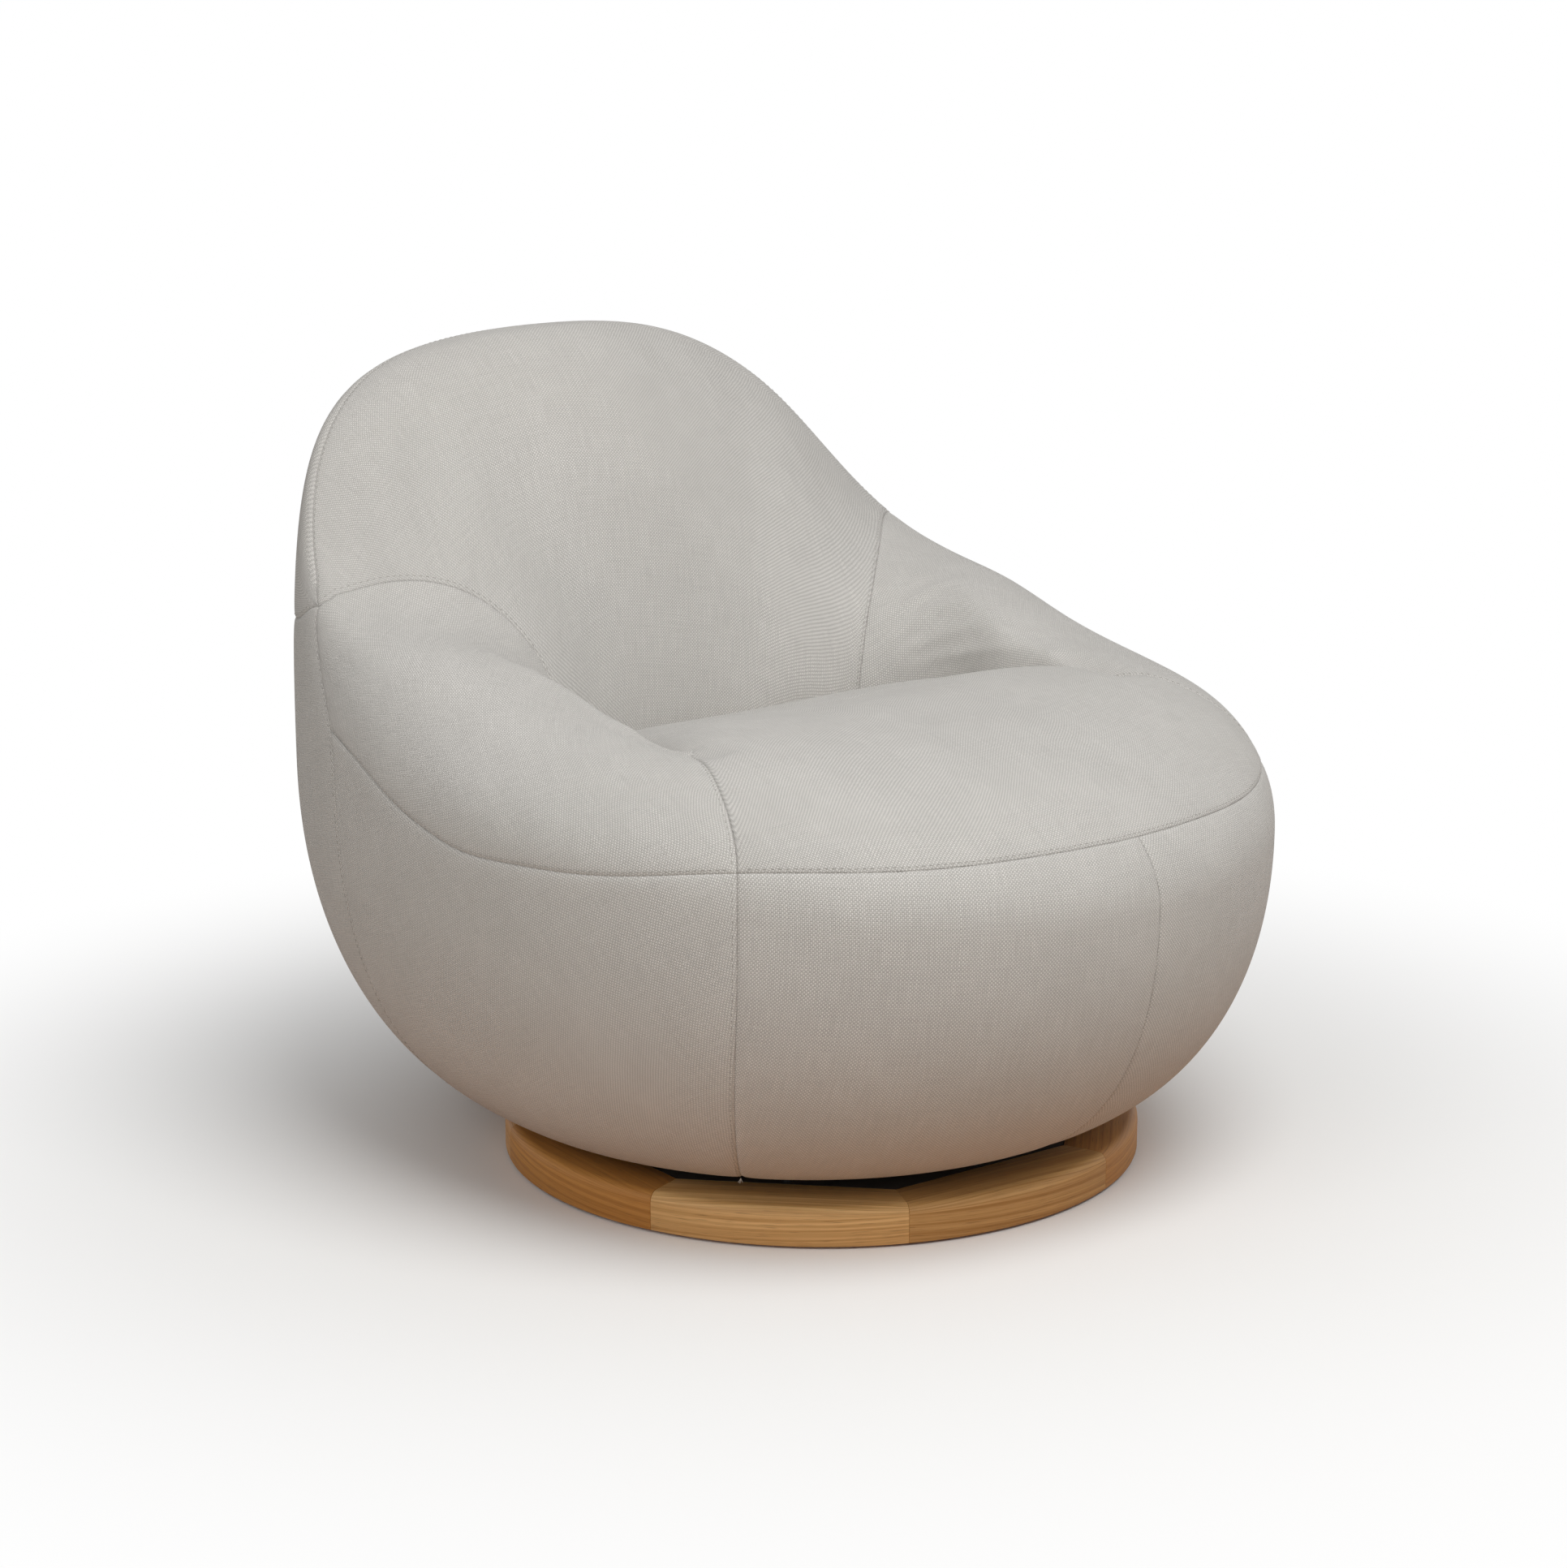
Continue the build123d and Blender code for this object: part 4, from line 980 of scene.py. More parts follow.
@dataclass
class Upholstery:
    """The ten sewn panels of the tub, their simulated fill and the stitches along their seams."""

    cell_mm: float = 5.0
    slack_mm: float = 1.2
    swell_cap_mm: float = 3.2
    fill_frames: int = 20
    fill_pressure: float = 4.0
    seam_tuck: float = 1.3
    middle_tuck: float = 1.5
    front_tuck: float = 1.4
    flank_tuck: float = 1.5
    rear_tuck: float = 0.9
    inner_tuck: float = 1.2
    fold_tuck: float = 2.6
    back_fold_tuck: float = 2.8
    seat_end_tuck: float = 1.0
    arm_end_tuck: float = 0.8
    fold_from: float = 170.0
    fold_ramp: float = 140.0
    seat_width: float = 560.0
    seat_depth: float = 430.0
    loose_thread_at: float = 0.22
    form: TubForm = field(default_factory=TubForm)
    seams: SeamPlan = field(default_factory=SeamPlan)
    cloth: HopsackCloth = field(default_factory=HopsackCloth)
    stitches: SeamStitches = field(default_factory=SeamStitches)
    panels: list[CoverPanel] = field(default_factory=list)
    # Pulls that fan out from the fold over the left arm's inner face: line, height and width
    arm_pulls: tuple[tuple[tuple[tuple[float, float, float], ...], float, float], ...] = (
        (((194, 141, 409), (221, 140, 441), (255, 126, 461), (279, 112, 468)), 2.4, 7.0),
        (((192, 137, 394), (215, 128, 424), (238, 108, 445), (264, 69, 457)), 2.6, 7.0),
        (((194, 133, 384), (216, 112, 408), (235, 72, 430), (272, 22, 440)), 2.2, 6.5),
        (((202, 125, 386), (225, 83, 403), (235, 17, 419), (258, -54, 424)), 1.8, 6.0),
        (((194, 150, 423), (215, 156, 451), (247, 163, 470)), 1.6, 6.0),
    )
    seat_pulls: tuple[tuple[tuple[float, float, float], ...], ...] = (
        ((-3, 0, 401), (43, -2, 402), (95, 10, 402)),
        ((-30, 42, 394), (25, 46, 393), (80, 52, 394)),
    )
    seat_pull_height: float = 1.5
    seat_pull_width: float = 6.0
    furrow: tuple[tuple[float, float, float], ...] = (
        (247, -40, 421), (247, -80, 421), (246, -115, 420), (238, -152, 419))
    furrow_depth: float = 9.0
    furrow_width: float = 16.0

    def cells(self, length: float) -> int:
        """Number of grid cells along a length, a multiple of the coarse grid's step."""
        return max(3, round(length / self.cell_mm / CoverPanel.SPLIT)) * CoverPanel.SPLIT

    def belt(self, angle: np.ndarray) -> np.ndarray:
        """Place of the belt seam on the section."""
        return self.form.along_at(angle, self.seams.belt_z(angle))

    def level(self, angle: np.ndarray) -> np.ndarray:
        """Place of the level seam on the outside of the back, held beyond its ends.

        Args:
            angle: Angles round the tub, from 0 to 360.
        Returns:
            Place on the section at each angle.
        """
        start = self.seams.level_z.keys[0]
        angle = np.clip(angle, start, 360 - start)
        return self.form.along_at(angle, self.seams.level_z(angle))

    def wall_grid(self, first: Curve, last: Curve, low: Curve, high: Curve) -> np.ndarray:
        """Lays a grid on the wall between four seams.

        Args:
            first: Angle of the first column at a place on the section.
            last: Angle of the last column at a place on the section.
            low: Place of the first row at an angle.
            high: Place of the last row at an angle.
        Returns:
            Grid of points, rows first.
        """

        def lay(u: np.ndarray, v: np.ndarray) -> np.ndarray:
            """Points between the four seams.

            Args:
                u: Share of the way from the first to the last column.
                v: Share of the way from the low to the high row.
            Returns:
                Points on the wall.
            """
            along = np.full(np.broadcast(u, v).shape, 1.5)
            angle = along
            for _ in range(40):
                angle = first(along) + (last(along) - first(along)) * u
                along = (along + low(angle) + (high(angle) - low(angle)) * v) / 2
            return self.form.wall(angle, along)

        dense = np.linspace(0, 1, 241)[:, None]
        rough = lay(np.linspace(0, 1, 61)[None, :], dense)
        width = run_length(rough, 1)[len(dense) // 2, -1]
        tall = run_length(rough, 0)[-1].max()
        u = graded(np.array(width), self.cells(width))[None, :]
        tried = np.repeat(dense, u.size, 1)
        for _ in range(3):
            # Rows are placed by length, then again with the rows found so far added to the places tried
            length = run_length(lay(u, tried), 0)
            wanted = graded(length[-1], self.cells(tall)) * length[-1]
            v = np.stack([np.interp(wanted[:, i], length[:, i], tried[:, i]) for i in range(u.size)], 1)
            tried = np.sort(np.concatenate([tried, v]), 0)
        return lay(u, v)

    def seat_grid(self) -> np.ndarray:
        """Lays the seat's grid, from the rear fold over the seat and down the front to the belt seam.

        Returns:
            Grid of points, rows first.
        """
        form, seams = self.form, self.seams
        across, deep = self.cells(self.seat_width), self.cells(self.seat_depth)
        u = (2 * graded(np.array(self.seat_width), across) - 1)[None, :]
        lines = graded(np.array(self.seat_depth), deep)
        lines = np.concatenate([lines[:4], lines[3] + (1 - lines[3]) * np.linspace(0, 1, deep - 2)[1:]])
        v = (1 - 2 * lines)[:, None]
        x, y = u * np.sqrt(1 - v * v / 2), v * np.sqrt(1 - u * u / 2)
        plain = np.degrees(np.arctan2(x, -y))
        angle = plain + (form.fold_start - 45) * np.sin(np.radians(2 * plain))
        top = form.seat(angle, np.minimum(np.hypot(x, y), 1.0))
        share = angle[-1] / form.fold_start
        along = np.linspace(2, 1, 400)[:, None]
        turn = share[None, :] * seams.seat_side(along)
        keep = along >= self.belt(turn)
        path = form.wall(turn, along)
        length = run_length(path, 0)
        total = np.array([length[keep[:, i], i][-1] for i in range(u.size)])
        rows = self.cells(float(total.max()))
        end = np.array(EDGE_LINES[::-1])
        front = []
        for i in range(u.size):
            even = np.linspace(0, total[i] - end[0], rows - 2)[1:]
            stops = np.concatenate([even, total[i] - end[1:]])
            front.append(at_stops(stops, length[:, i], path[:, i]))
        grid = np.concatenate([top, np.stack(front, 1)], 0)
        # The front edge is rounded over by evening the grid out, away from the rows beside the seams
        fade = np.ones(grid.shape[0])
        fade[:6] = fade[-8:] = 0
        for _ in range(24):
            soft = grid.copy()
            soft[1:-1, 1:-1] = (grid[:-2, 1:-1] + grid[2:, 1:-1] + grid[1:-1, :-2] + grid[1:-1, 2:]) / 4
            grid = grid + (soft - grid) * 0.5 * fade[:, None, None]
        return grid

    def dip(self, side: Side) -> Wrinkle:
        """Furrow on one side, in which the fold between seat and arm begins."""
        line = [(side.value * x, y, z) for x, y, z in self.furrow]
        return Wrinkle(line, -self.furrow_depth, self.furrow_width, push=(0.0, 0.0, 1.0))

    def seat_panel(self) -> CoverPanel:
        """The seat's panel, whose side seams deepen into the fold.

        Returns:
            The panel.
        """
        grid = self.seat_grid()[::-1]
        ramp = np.clip((run_length(grid, 0)[:, :1] - self.fold_from) / self.fold_ramp, 0, 1)
        sides = self.seat_end_tuck + (self.fold_tuck - self.seat_end_tuck) * ramp
        pulls = [Wrinkle(line, self.seat_pull_height, self.seat_pull_width) for line in self.seat_pulls]
        pulls += [self.dip(side) for side in Side]
        return CoverPanel(
            "seat_panel", ("seat_cover", "seat_foam", "core_foam"), grid, 3.0,
            (self.seam_tuck, self.fold_tuck, sides, sides), (Edge.LOW,), pulls)

    def sided(
        self, side: Side, part: str, nodes: tuple[str, ...], grid: np.ndarray, turn: float,
        tuck: tuple[float | np.ndarray, ...], stitched: tuple[Edge, ...], wrinkles: Sequence[Wrinkle] = (),
    ) -> CoverPanel:
        """Makes a panel of one side from a grid laid out on the left.

        Args:
            side: The panel's side.
            part: What the panel covers.
            nodes: Nodes that it replaces.
            grid: Grid of points on the left.
            turn: Angle of the weave.
            tuck: Depths of its seams, on the left.
            stitched: Edges with stitches.
            wrinkles: Wrinkles of this side.
        Returns:
            The panel, mirrored on the right so that its columns still run from left to right.
        """
        flip = slice(None, None, side.value)
        low, high, first, last = tuck
        high = high[:, flip] if np.ndim(high) else high
        first, last = (first, last)[flip]
        return CoverPanel(
            f"{side.word}_{part}_panel", nodes, (grid * (side.value, 1, 1))[:, flip], turn,
            (low, high, first, last), stitched, list(wrinkles))

    def side_panels(self, side: Side) -> list[CoverPanel]:
        """Front, side and arm panels on one side.

        Args:
            side: The side.
        Returns:
            The three panels.
        """
        k, word, seams = side.value, side.word, self.seams
        ahead = Edge.FIRST if side is Side.LEFT else Edge.LAST
        front = self.wall_grid(held(seams.middle_front * k), seams.front, foot_line, self.belt)
        flank = self.wall_grid(seams.front, seams.rear, foot_line, self.belt)
        arm = self.wall_grid(seams.seat_side, seams.back_side(side), self.belt, fold_line)
        ramp = np.clip(run_length(arm, 1)[-1:] / self.fold_ramp, 0, 1)
        fold = self.arm_end_tuck + (self.fold_tuck - self.arm_end_tuck) * ramp
        pulls = [
            Wrinkle([(k * x, y, z) for x, y, z in line], high, wide) for line, high, wide in self.arm_pulls]
        pulls.append(self.dip(side))
        foam = ("front_foam",) if side is Side.LEFT else ()
        return [
            self.sided(
                side, "front", (f"{word}_front_cover",) + foam, front, 2.0,
                (0.0, self.seam_tuck, self.middle_tuck, self.front_tuck), ()),
            self.sided(
                side, "side", (f"{word}_side_cover", f"{word}_side_foam"), flank, 32.0 * k,
                (0.0, self.seam_tuck, self.flank_tuck, self.rear_tuck), (ahead,)),
            self.sided(
                side, "arm", (f"{word}_arm_cover",), arm, 36.0 * k,
                (self.seam_tuck, fold, self.flank_tuck, self.rear_tuck), (Edge.LOW, ahead), pulls),
        ]

    def back_panels(self) -> list[CoverPanel]:
        """The two panels outside the back and the one inside it.

        Returns:
            The three panels.
        """
        seams, faint = self.seams, self.rear_tuck
        left, right = seams.back_side(Side.LEFT), opposite(seams.back_side(Side.RIGHT))
        lower = self.wall_grid(seams.rear, opposite(seams.rear), foot_line, self.level)
        outer = self.wall_grid(left, right, self.level, seams.crest)
        inner = self.wall_grid(left, right, seams.crest, fold_line)
        return [
            CoverPanel(
                "rear_lower_panel", ("rear_lower_cover",), lower, 2.0,
                (0.0, self.seam_tuck, faint, faint), (Edge.FIRST, Edge.LAST)),
            CoverPanel(
                "outer_back_panel", ("outer_back_cover",), outer, 4.0,
                (self.seam_tuck, faint, faint, faint), (Edge.LOW,)),
            CoverPanel(
                "inner_back_panel", ("inner_back_cover", "back_foam"), inner, 8.0,
                (faint, self.back_fold_tuck, self.inner_tuck, self.inner_tuck),
                (Edge.LOW, Edge.FIRST, Edge.LAST)),
        ]

    def lay_out(self) -> None:
        """Lays out the panels between the seams."""
        self.panels.append(self.seat_panel())
        for side in Side:
            self.panels += self.side_panels(side)
        self.panels += self.back_panels()

    def fill(self) -> None:
        """Swells the panels with a cloth simulation of their coarse grids, held at the seams."""
        k = CoverPanel.SPLIT
        starts, faces, pinned, spans = [], [], [], []
        count = 0
        for panel in self.panels:
            start = (panel.points - panel.normals * self.slack_mm)[::k, ::k]
            ids = count + np.arange(start.shape[0] * start.shape[1]).reshape(start.shape[:2])
            quads = np.stack([ids[:-1, :-1], ids[:-1, 1:], ids[1:, 1:], ids[1:, :-1]], -1)
            faces += quads.reshape(-1, 4).tolist()
            pinned += np.unique(np.concatenate([ids[0], ids[-1], ids[:, 0], ids[:, -1]])).tolist()
            starts.append(start.reshape(-1, 3))
            spans.append((count, start.shape[:2]))
            count += ids.size
        before = np.concatenate(starts)
        mesh = bpy.data.meshes.new("fill_trial")
        mesh.from_pydata((before * MM).tolist(), [], faces)
        trial = bpy.data.objects.new("fill_trial", mesh)
        scene = bpy.context.scene
        scene.collection.objects.link(trial)
        trial.vertex_groups.new(name="seams").add(pinned, 1.0, "REPLACE")
        cloth = trial.modifiers.new("fill", "CLOTH")
        cloth.settings.quality = 6
        cloth.settings.mass = 0.3
        cloth.settings.tension_stiffness = cloth.settings.compression_stiffness = 20
        cloth.settings.bending_stiffness = 2.0
        cloth.settings.use_pressure = True
        cloth.settings.uniform_pressure_force = self.fill_pressure
        cloth.settings.vertex_group_mass = "seams"
        cloth.settings.effector_weights.gravity = 0
        cloth.point_cache.frame_start, cloth.point_cache.frame_end = 1, self.fill_frames
        for step in range(1, self.fill_frames + 1):
            scene.frame_set(step)
        shown = trial.evaluated_get(bpy.context.evaluated_depsgraph_get())
        after = np.empty(count * 3, np.float32)
        shown.data.vertices.foreach_get("co", after)
        moved = after.reshape(-1, 3) / MM - before
        scene.frame_set(1)
        bpy.data.objects.remove(trial)
        for panel, (first, shape) in zip(self.panels, spans):
            out = panel.normals[::k, ::k]
            lift = (moved[first:first + shape[0] * shape[1]].reshape(shape + (3,)) * out).sum(-1)
            lift = self.swell_cap_mm * np.tanh(np.maximum(lift, 0) / self.swell_cap_mm)
            LOG.info("%s swells by up to %.1f mm", panel.name, lift.max())
            panel.swell = lift - self.slack_mm

    def build(self) -> None:
        """Makes the panels and their stitches."""
        self.lay_out()
        self.fill()
        cloth = self.cloth.material()
        for panel in self.panels:
            panel.build(cloth)
        place = self.loose_thread_at
        self.stitches.build(self.panels, self.form.wall(-self.seams.front(place), place))


@dataclass
class OakRing:
    """The low ring of eight oak segments with straight inner sides, in millimetres."""

    sides: int = 8
    phase: float = 18.0
    radius: float = 286.0
    apothem: float = 226.0
    foot_z: float = 2.0
    top_z: float = 36.0
    top_round: float = 9.0
    foot_round: float = 2.0
    inner_round: float = 1.5
    joint_ease: float = 0.3
    half_gap: float = 0.06
    stations: int = 41
    # Each segment is cut from its own stretch of board, this far along and across the last one
    board_along: float = 700.0
    board_across: float = 90.0
    tones: tuple[tuple[float, float, float], ...] = (
        (1.0, 1.0, 1.0), (0.9, 0.88, 0.82), (1.1, 1.12, 1.12), (0.97, 0.86, 0.55),
        (1.32, 1.55, 1.7), (1.04, 1.14, 1.12), (0.94, 0.88, 0.7), (1.08, 1.08, 1.1),
    )
    grain_tilts: tuple[float, ...] = (0.02, -0.03, 0.01, -0.05, 0.02, -0.04, 0.03, -0.01)
    oak: OiledOak = field(default_factory=OiledOak)

    def profile(self, inner: float, ease: float) -> np.ndarray:
        """Closed profile of the ring as radius and height.

        Args:
            inner: Radius of the inner side there.
            ease: How far the profile is drawn in, for the eased edges of a joint.
        Returns:
            Points of the profile, anticlockwise seen with the radius to the right.
        """
        outer, top, foot = self.radius - ease, self.top_z - ease, self.foot_z
        turns = np.radians(np.linspace(0, 90, 9))
        upper = [
            (outer - self.top_round * (1 - np.cos(t)), top - self.top_round * (1 - np.sin(t))) for t in turns]
        lower = [
            (outer - self.foot_round * (1 - np.sin(t)), foot + self.foot_round * (1 - np.cos(t)))
            for t in turns[::4]]
        cut = 0.4
        edge = [(inner + self.inner_round, top), (inner + cut, top - cut), (inner, top - self.inner_round)]
        return np.array([(inner, foot)] + lower + upper + edge)

    def segment(self, aim: float) -> np.ndarray:
        """Points of one segment, profile after profile from joint to joint.

        Args:
            aim: Angle of the segment's middle.
        Returns:
            Grid of points in millimetres, one profile to a row.
        """
        half = 180 / self.sides - math.degrees(self.half_gap / self.radius)
        turns = np.linspace(-half, half, self.stations)
        eased = math.degrees(self.joint_ease / self.radius)
        turns = np.concatenate([turns[:1], turns[:1] + eased, turns[1:-1], turns[-1:] - eased, turns[-1:]])
        rings = []
        for i, turn in enumerate(turns):
            ease = self.joint_ease if i in (0, len(turns) - 1) else 0.0
            rings.append(self.profile(self.apothem / math.cos(math.radians(turn)), ease))
        rings = np.array(rings)
        angle = np.radians(aim + turns)[:, None]
        return np.stack([rings[..., 0] * np.sin(angle), -rings[..., 0] * np.cos(angle), rings[..., 1]], -1)

    def grain(self, number: int, aim: float, points: np.ndarray) -> np.ndarray:
        """Grain coordinates of a segment, straight along its middle on the top and the outer wall.

        Args:
            number: The segment's number, from 0.
            aim: Angle of the segment's middle.
            points: The segment's points in millimetres.
        Returns:
            Places along and across the grain in metres.
        """
        x, y, z = points[..., 0], points[..., 1], points[..., 2]
        away = math.radians(aim)
        along = x * math.cos(away) + y * math.sin(away)
        out = x * math.sin(away) - y * math.cos(away)
        on_top = np.clip(1 - (self.top_z - z) / self.top_round, 0, 1)
        lane = on_top * out + (1 - on_top) * (self.radius + self.top_z - z)
        lane = lane + along * self.grain_tilts[number] + self.board_across * number
        return np.stack([along + self.board_along * number, lane], -1) * MM

    def build(self) -> None:
        """Makes and dresses the eight segments."""
        wood = self.oak.material()
        for number in range(self.sides):
            name = f"ring_segment_{number + 1}"
            aim = self.phase + 90 + 360 / self.sides * (number + 0.5)
            points = self.segment(aim)
            ids = np.arange(points.shape[0] * points.shape[1]).reshape(points.shape[:2])
            nxt = np.roll(ids, -1, axis=1)
            faces = np.stack([ids[:-1], ids[1:], nxt[1:], nxt[:-1]], -1).reshape(-1, 4).tolist()
            faces += [ids[0].tolist(), ids[-1][::-1].tolist()]
            mesh = bpy.data.meshes.new(f"oak_segment_{number + 1}")
            mesh.from_pydata((points.reshape(-1, 3) * MM).tolist(), [], faces)
            spread(mesh, "grain", self.grain(number, aim, points).reshape(-1, 2))
            mesh.attributes.new("tone", "FLOAT_VECTOR", "POINT").data.foreach_set(
                "vector", np.tile(np.array(self.tones[number], np.float32), ids.size))
            mesh.polygons.foreach_set("use_smooth", np.ones(len(mesh.polygons), bool))
            mesh.set_sharp_from_angle(angle=math.radians(40))
            mesh.materials.append(wood)
            obj = bpy.data.objects.new(mesh.name, mesh)
            bpy.context.scene.collection.objects.link(obj)
            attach(obj, Body.BASE.value)
            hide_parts(name)
            LOG.info("%s at %.0f degrees", obj.name, aim)


@dataclass
class Underworks:
    """Board, bearing, deck and steel under the upholstery, which keep their solids and get their finishes."""

    # Wool fibres pressed into sheet: dark, matt and slightly lumpy
    felt: PlainFinish = PlainFinish("pressed_wool_felt", "5B5853", "3A3835", 1.2, 0.95, relief_mm=0.3)
    # Rotary-cut birch, unfinished: pale, with long faint streaks
    plywood: PlainFinish = PlainFinish(
        "birch_plywood", "C9A878", "A98556", 6.0, 0.7, stretch=(0.06, 1.0, 1.0), relief_mm=0.1)
    # The same board coloured near black as painted shade, so that the gap over the ring reads as a dark line
    painted_shade_board: PlainFinish = PlainFinish(
        "black_painted_shade_plywood", "3B332C", "241F1A", 6.0, 0.75, stretch=(0.06, 1.0, 1.0), relief_mm=0.1)
    # Pressed steel with bright zinc plating: cool grey, soft reflections with a faint spangle
    zinc: PlainFinish = PlainFinish("zinc_plated_steel", "B9BBBC", "8F9294", 3.0, 0.38, 1.0)
    # Hardened steel with a black oxide: dark, with dull highlights
    screw: PlainFinish = PlainFinish("blackened_screw_steel", "4A4A4B", "2C2C2D", 1.5, 0.45, 1.0)
    # Ground and polished bearing steel: nearly a mirror
    ball: PlainFinish = PlainFinish("polished_ball_steel", "CFD1D2", "B7B9BA", 4.0, 0.15, 1.0, relief_mm=0.01)
    # Moulded natural acetal: milky white with a soft sheen
    cage: PlainFinish = PlainFinish("moulded_acetal", "E4E2DC", "D2D0C9", 2.0, 0.5)
    # Baked powder on steel tube: black, with a fine orange peel
    tube: PlainFinish = PlainFinish("black_powder_coat", "2A2A2A", "171717", 0.8, 0.6, relief_mm=0.06)
    # Spun-bonded cloth: flat black with a bonded mottle
    dust: PlainFinish = PlainFinish("black_dust_cloth", "2B2A29", "131212", 0.9, 0.95, relief_mm=0.2)

    def build(self) -> None:
        """Dresses the solids that stay."""
        finish = {
            self.felt: ("felt_ring",),
            self.plywood: ("seat_deck", "segment_tongues"),
            # Painted shade: the base board is near black so that the gap over the ring reads dark
            self.painted_shade_board: ("base_board",),
            self.zinc: ("swivel_lower_plate", "swivel_upper_plate", "pivot_pin", "pivot_washer", "pivot_nut"),
            self.screw: ("base_board_screws", "lower_plate_screws", "upper_plate_screws", "hoop_foot_screws"),
            self.ball: ("bearing_balls",),
            self.cage: ("ball_cage",),
            self.tube: ("back_hoop", "hoop_feet"),
            self.dust: ("dust_cloth",),
        }
        for look, nodes in finish.items():
            material = look.material()
            for node in nodes:
                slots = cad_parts[node].data.materials
                slots.clear()
                slots.append(material)
                LOG.info("%s gets %s", node, look.name)


@dataclass(frozen=True)
class SoftLamp:
    """A round soft lamp, in metres and watts."""

    name: str
    place: tuple[float, float, float]
    size: float
    watts: float
    aim: tuple[float, float, float] = (0.0, 0.0, 0.4)

    def build(self) -> None:
        """Makes the lamp and turns it to the chair."""
        light = bpy.data.lights.new(self.name, "AREA")
        light.shape = "DISK"
        light.size = self.size
        light.energy = self.watts
        lamp = bpy.data.objects.new(self.name, light)
        lamp.location = self.place
        lamp.rotation_mode = "QUATERNION"
        lamp.rotation_quaternion = (Vector(self.aim) - Vector(self.place)).to_track_quat("-Z", "Y")
        bpy.context.scene.collection.objects.link(lamp)


def seen_plainly(tree: bpy.types.NodeTree) -> bpy.types.NodeSocket:
    """Tells whether the camera sees a surface, directly or in metal or glass.

    Args:
        tree: Node tree of the surface or the world.
    Returns:
        Socket that is 1 for such rays and 0 for light that falls on the chair.
    """
    path = put(tree, "ShaderNodeLightPath").outputs
    seen = path["Is Camera Ray"]
    for ray in ("Is Glossy Ray", "Is Transmission Ray"):
        seen = put(tree, "ShaderNodeMath", {0: seen, 1: path[ray]}, operation="MAXIMUM").outputs[0]
    return seen


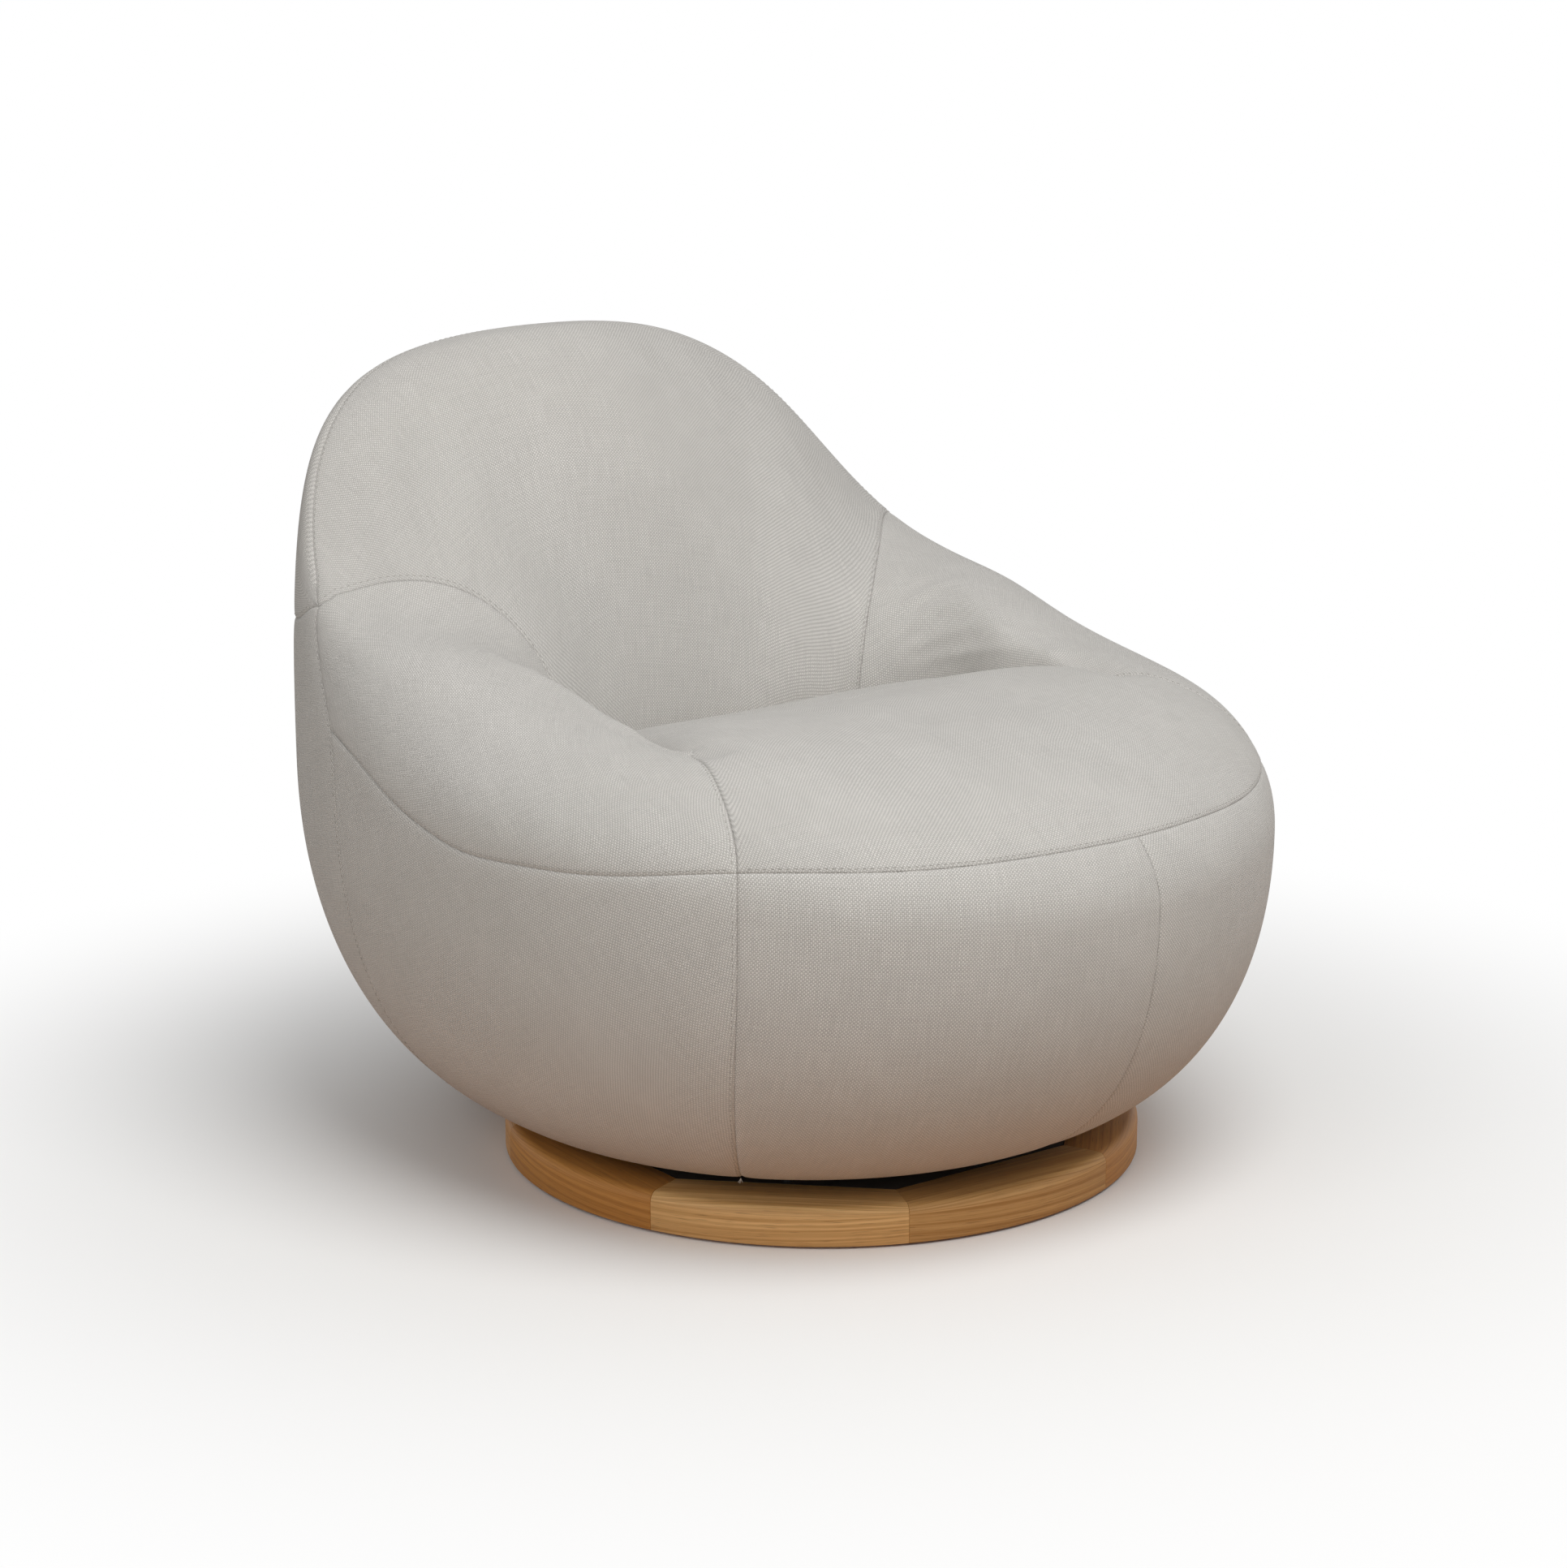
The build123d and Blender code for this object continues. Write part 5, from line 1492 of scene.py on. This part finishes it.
@dataclass
class Studio:
    """Pale floor, white surroundings, soft lamps and the camera."""

    azimuth: float = -41.297
    elevation: float = 13.44
    distance: float = 3.1
    lens_px: float = 4301.35
    sensor_mm: float = 36.0
    aim_side: float = -0.03409
    aim_z: float = 0.32965
    floor_half: float = 30.0
    floor_seen: str = "F4F3F1"
    floor_near: str = "C0916A"
    floor_far: str = "C8C1B9"
    shadow_from: float = 0.3
    shadow_to: float = 1.15
    warm_from: float = 0.35
    warm_to: float = 0.95
    world_strength: float = 0.3
    lamps: tuple[SoftLamp, ...] = (
        SoftLamp("high_front", (-0.3, -1.8, 3.2), 2.6, 83.0),
        SoftLamp("left_fill", (-3.2, -0.8, 1.8), 2.4, 26.0),
        SoftLamp("right_fill", (3.0, -1.6, 1.8), 2.4, 8.0),
    )

    def camera(self) -> None:
        """Makes the camera at the photograph's place."""
        a, e = math.radians(self.azimuth), math.radians(self.elevation)
        right = Vector((math.cos(a), math.sin(a), 0))
        back = Vector((math.sin(a) * math.cos(e), -math.cos(a) * math.cos(e), math.sin(e)))
        lens = bpy.data.cameras.new("studio_camera")
        lens.sensor_width = self.sensor_mm
        lens.lens = self.lens_px * self.sensor_mm / IMAGE_SIDE
        eye = bpy.data.objects.new("studio_camera", lens)
        eye.location = Vector((0, 0, self.aim_z)) + right * self.aim_side + back * self.distance
        eye.rotation_mode = "QUATERNION"
        eye.rotation_quaternion = (-back).to_track_quat("-Z", "Y")
        bpy.context.scene.collection.objects.link(eye)
        bpy.context.scene.camera = eye

    def floor(self) -> None:
        """Makes the floor, which fades to white and throws warm light back beside the wood."""
        mesh = bpy.data.meshes.new("studio_floor")
        size = self.floor_half
        corners = [(-size, -size, 0), (size, -size, 0), (size, size, 0), (-size, size, 0)]
        mesh.from_pydata(corners, [], [(0, 1, 2, 3)])
        obj = bpy.data.objects.new("studio_floor", mesh)
        bpy.context.scene.collection.objects.link(obj)
        material, tree, out = blank("pale_studio_floor")
        place = put(tree, "ShaderNodeTexCoord").outputs["Object"]
        reach = put(tree, "ShaderNodeVectorMath", {0: place}, operation="LENGTH").outputs["Value"]
        fade = put(
            tree, "ShaderNodeMapRange", {0: reach, 1: self.shadow_from, 2: self.shadow_to, 3: 0.0, 4: 1.0},
            interpolation_type="SMOOTHSTEP",
        ).outputs[0]
        seen = seen_plainly(tree)
        apart = put(
            tree, "ShaderNodeMapRange", {0: reach, 1: self.warm_from, 2: self.warm_to, 3: 0.0, 4: 1.0},
            interpolation_type="SMOOTHSTEP",
        ).outputs[0]
        bounce = put(
            tree, "ShaderNodeMix", {0: apart, 6: linear(self.floor_near), 7: linear(self.floor_far)},
            data_type="RGBA",
        ).outputs[2]
        tint = put(
            tree, "ShaderNodeMix", {0: seen, 6: bounce, 7: linear(self.floor_seen)}, data_type="RGBA"
        ).outputs[2]
        paint = put(tree, "ShaderNodeBsdfDiffuse", {"Color": tint})
        glow = put(tree, "ShaderNodeEmission", {"Strength": 1.0})
        white = put(tree, "ShaderNodeMath", {0: fade, 1: seen}, operation="MULTIPLY").outputs[0]
        both = put(tree, "ShaderNodeMixShader", {0: white, 1: paint.outputs[0], 2: glow.outputs[0]})
        tree.links.new(both.outputs[0], out.inputs[0])
        mesh.materials.append(material)

    def surroundings(self) -> None:
        """Makes a soft world light that the camera sees as white."""
        world = bpy.data.worlds.new("studio_world")
        world.use_nodes = True
        tree = world.node_tree
        tree.nodes.clear()
        seen = seen_plainly(tree)
        soft = put(tree, "ShaderNodeBackground", {"Color": (1, 1, 1, 1), "Strength": self.world_strength})
        white = put(tree, "ShaderNodeBackground", {"Color": (1, 1, 1, 1), "Strength": 1.0})
        both = put(tree, "ShaderNodeMixShader", {0: seen, 1: soft.outputs[0], 2: white.outputs[0]})
        put(tree, "ShaderNodeOutputWorld", {0: both.outputs[0]})
        bpy.context.scene.world = world

    def build(self) -> None:
        """Makes the studio round the chair."""
        bpy.context.scene.view_settings.view_transform = "Standard"
        self.camera()
        self.floor()
        self.surroundings()
        for lamp in self.lamps:
            lamp.build()
        LOG.info("studio with %d lamps", len(self.lamps))


def main() -> None:
    """Builds the chair's sub-assemblies and the studio."""
    logging.basicConfig(level=logging.INFO, format="%(name)s: %(message)s")
    Studio().build()
    Upholstery().build()
    OakRing().build()
    Underworks().build()


if __name__ == "__main__":
    main()
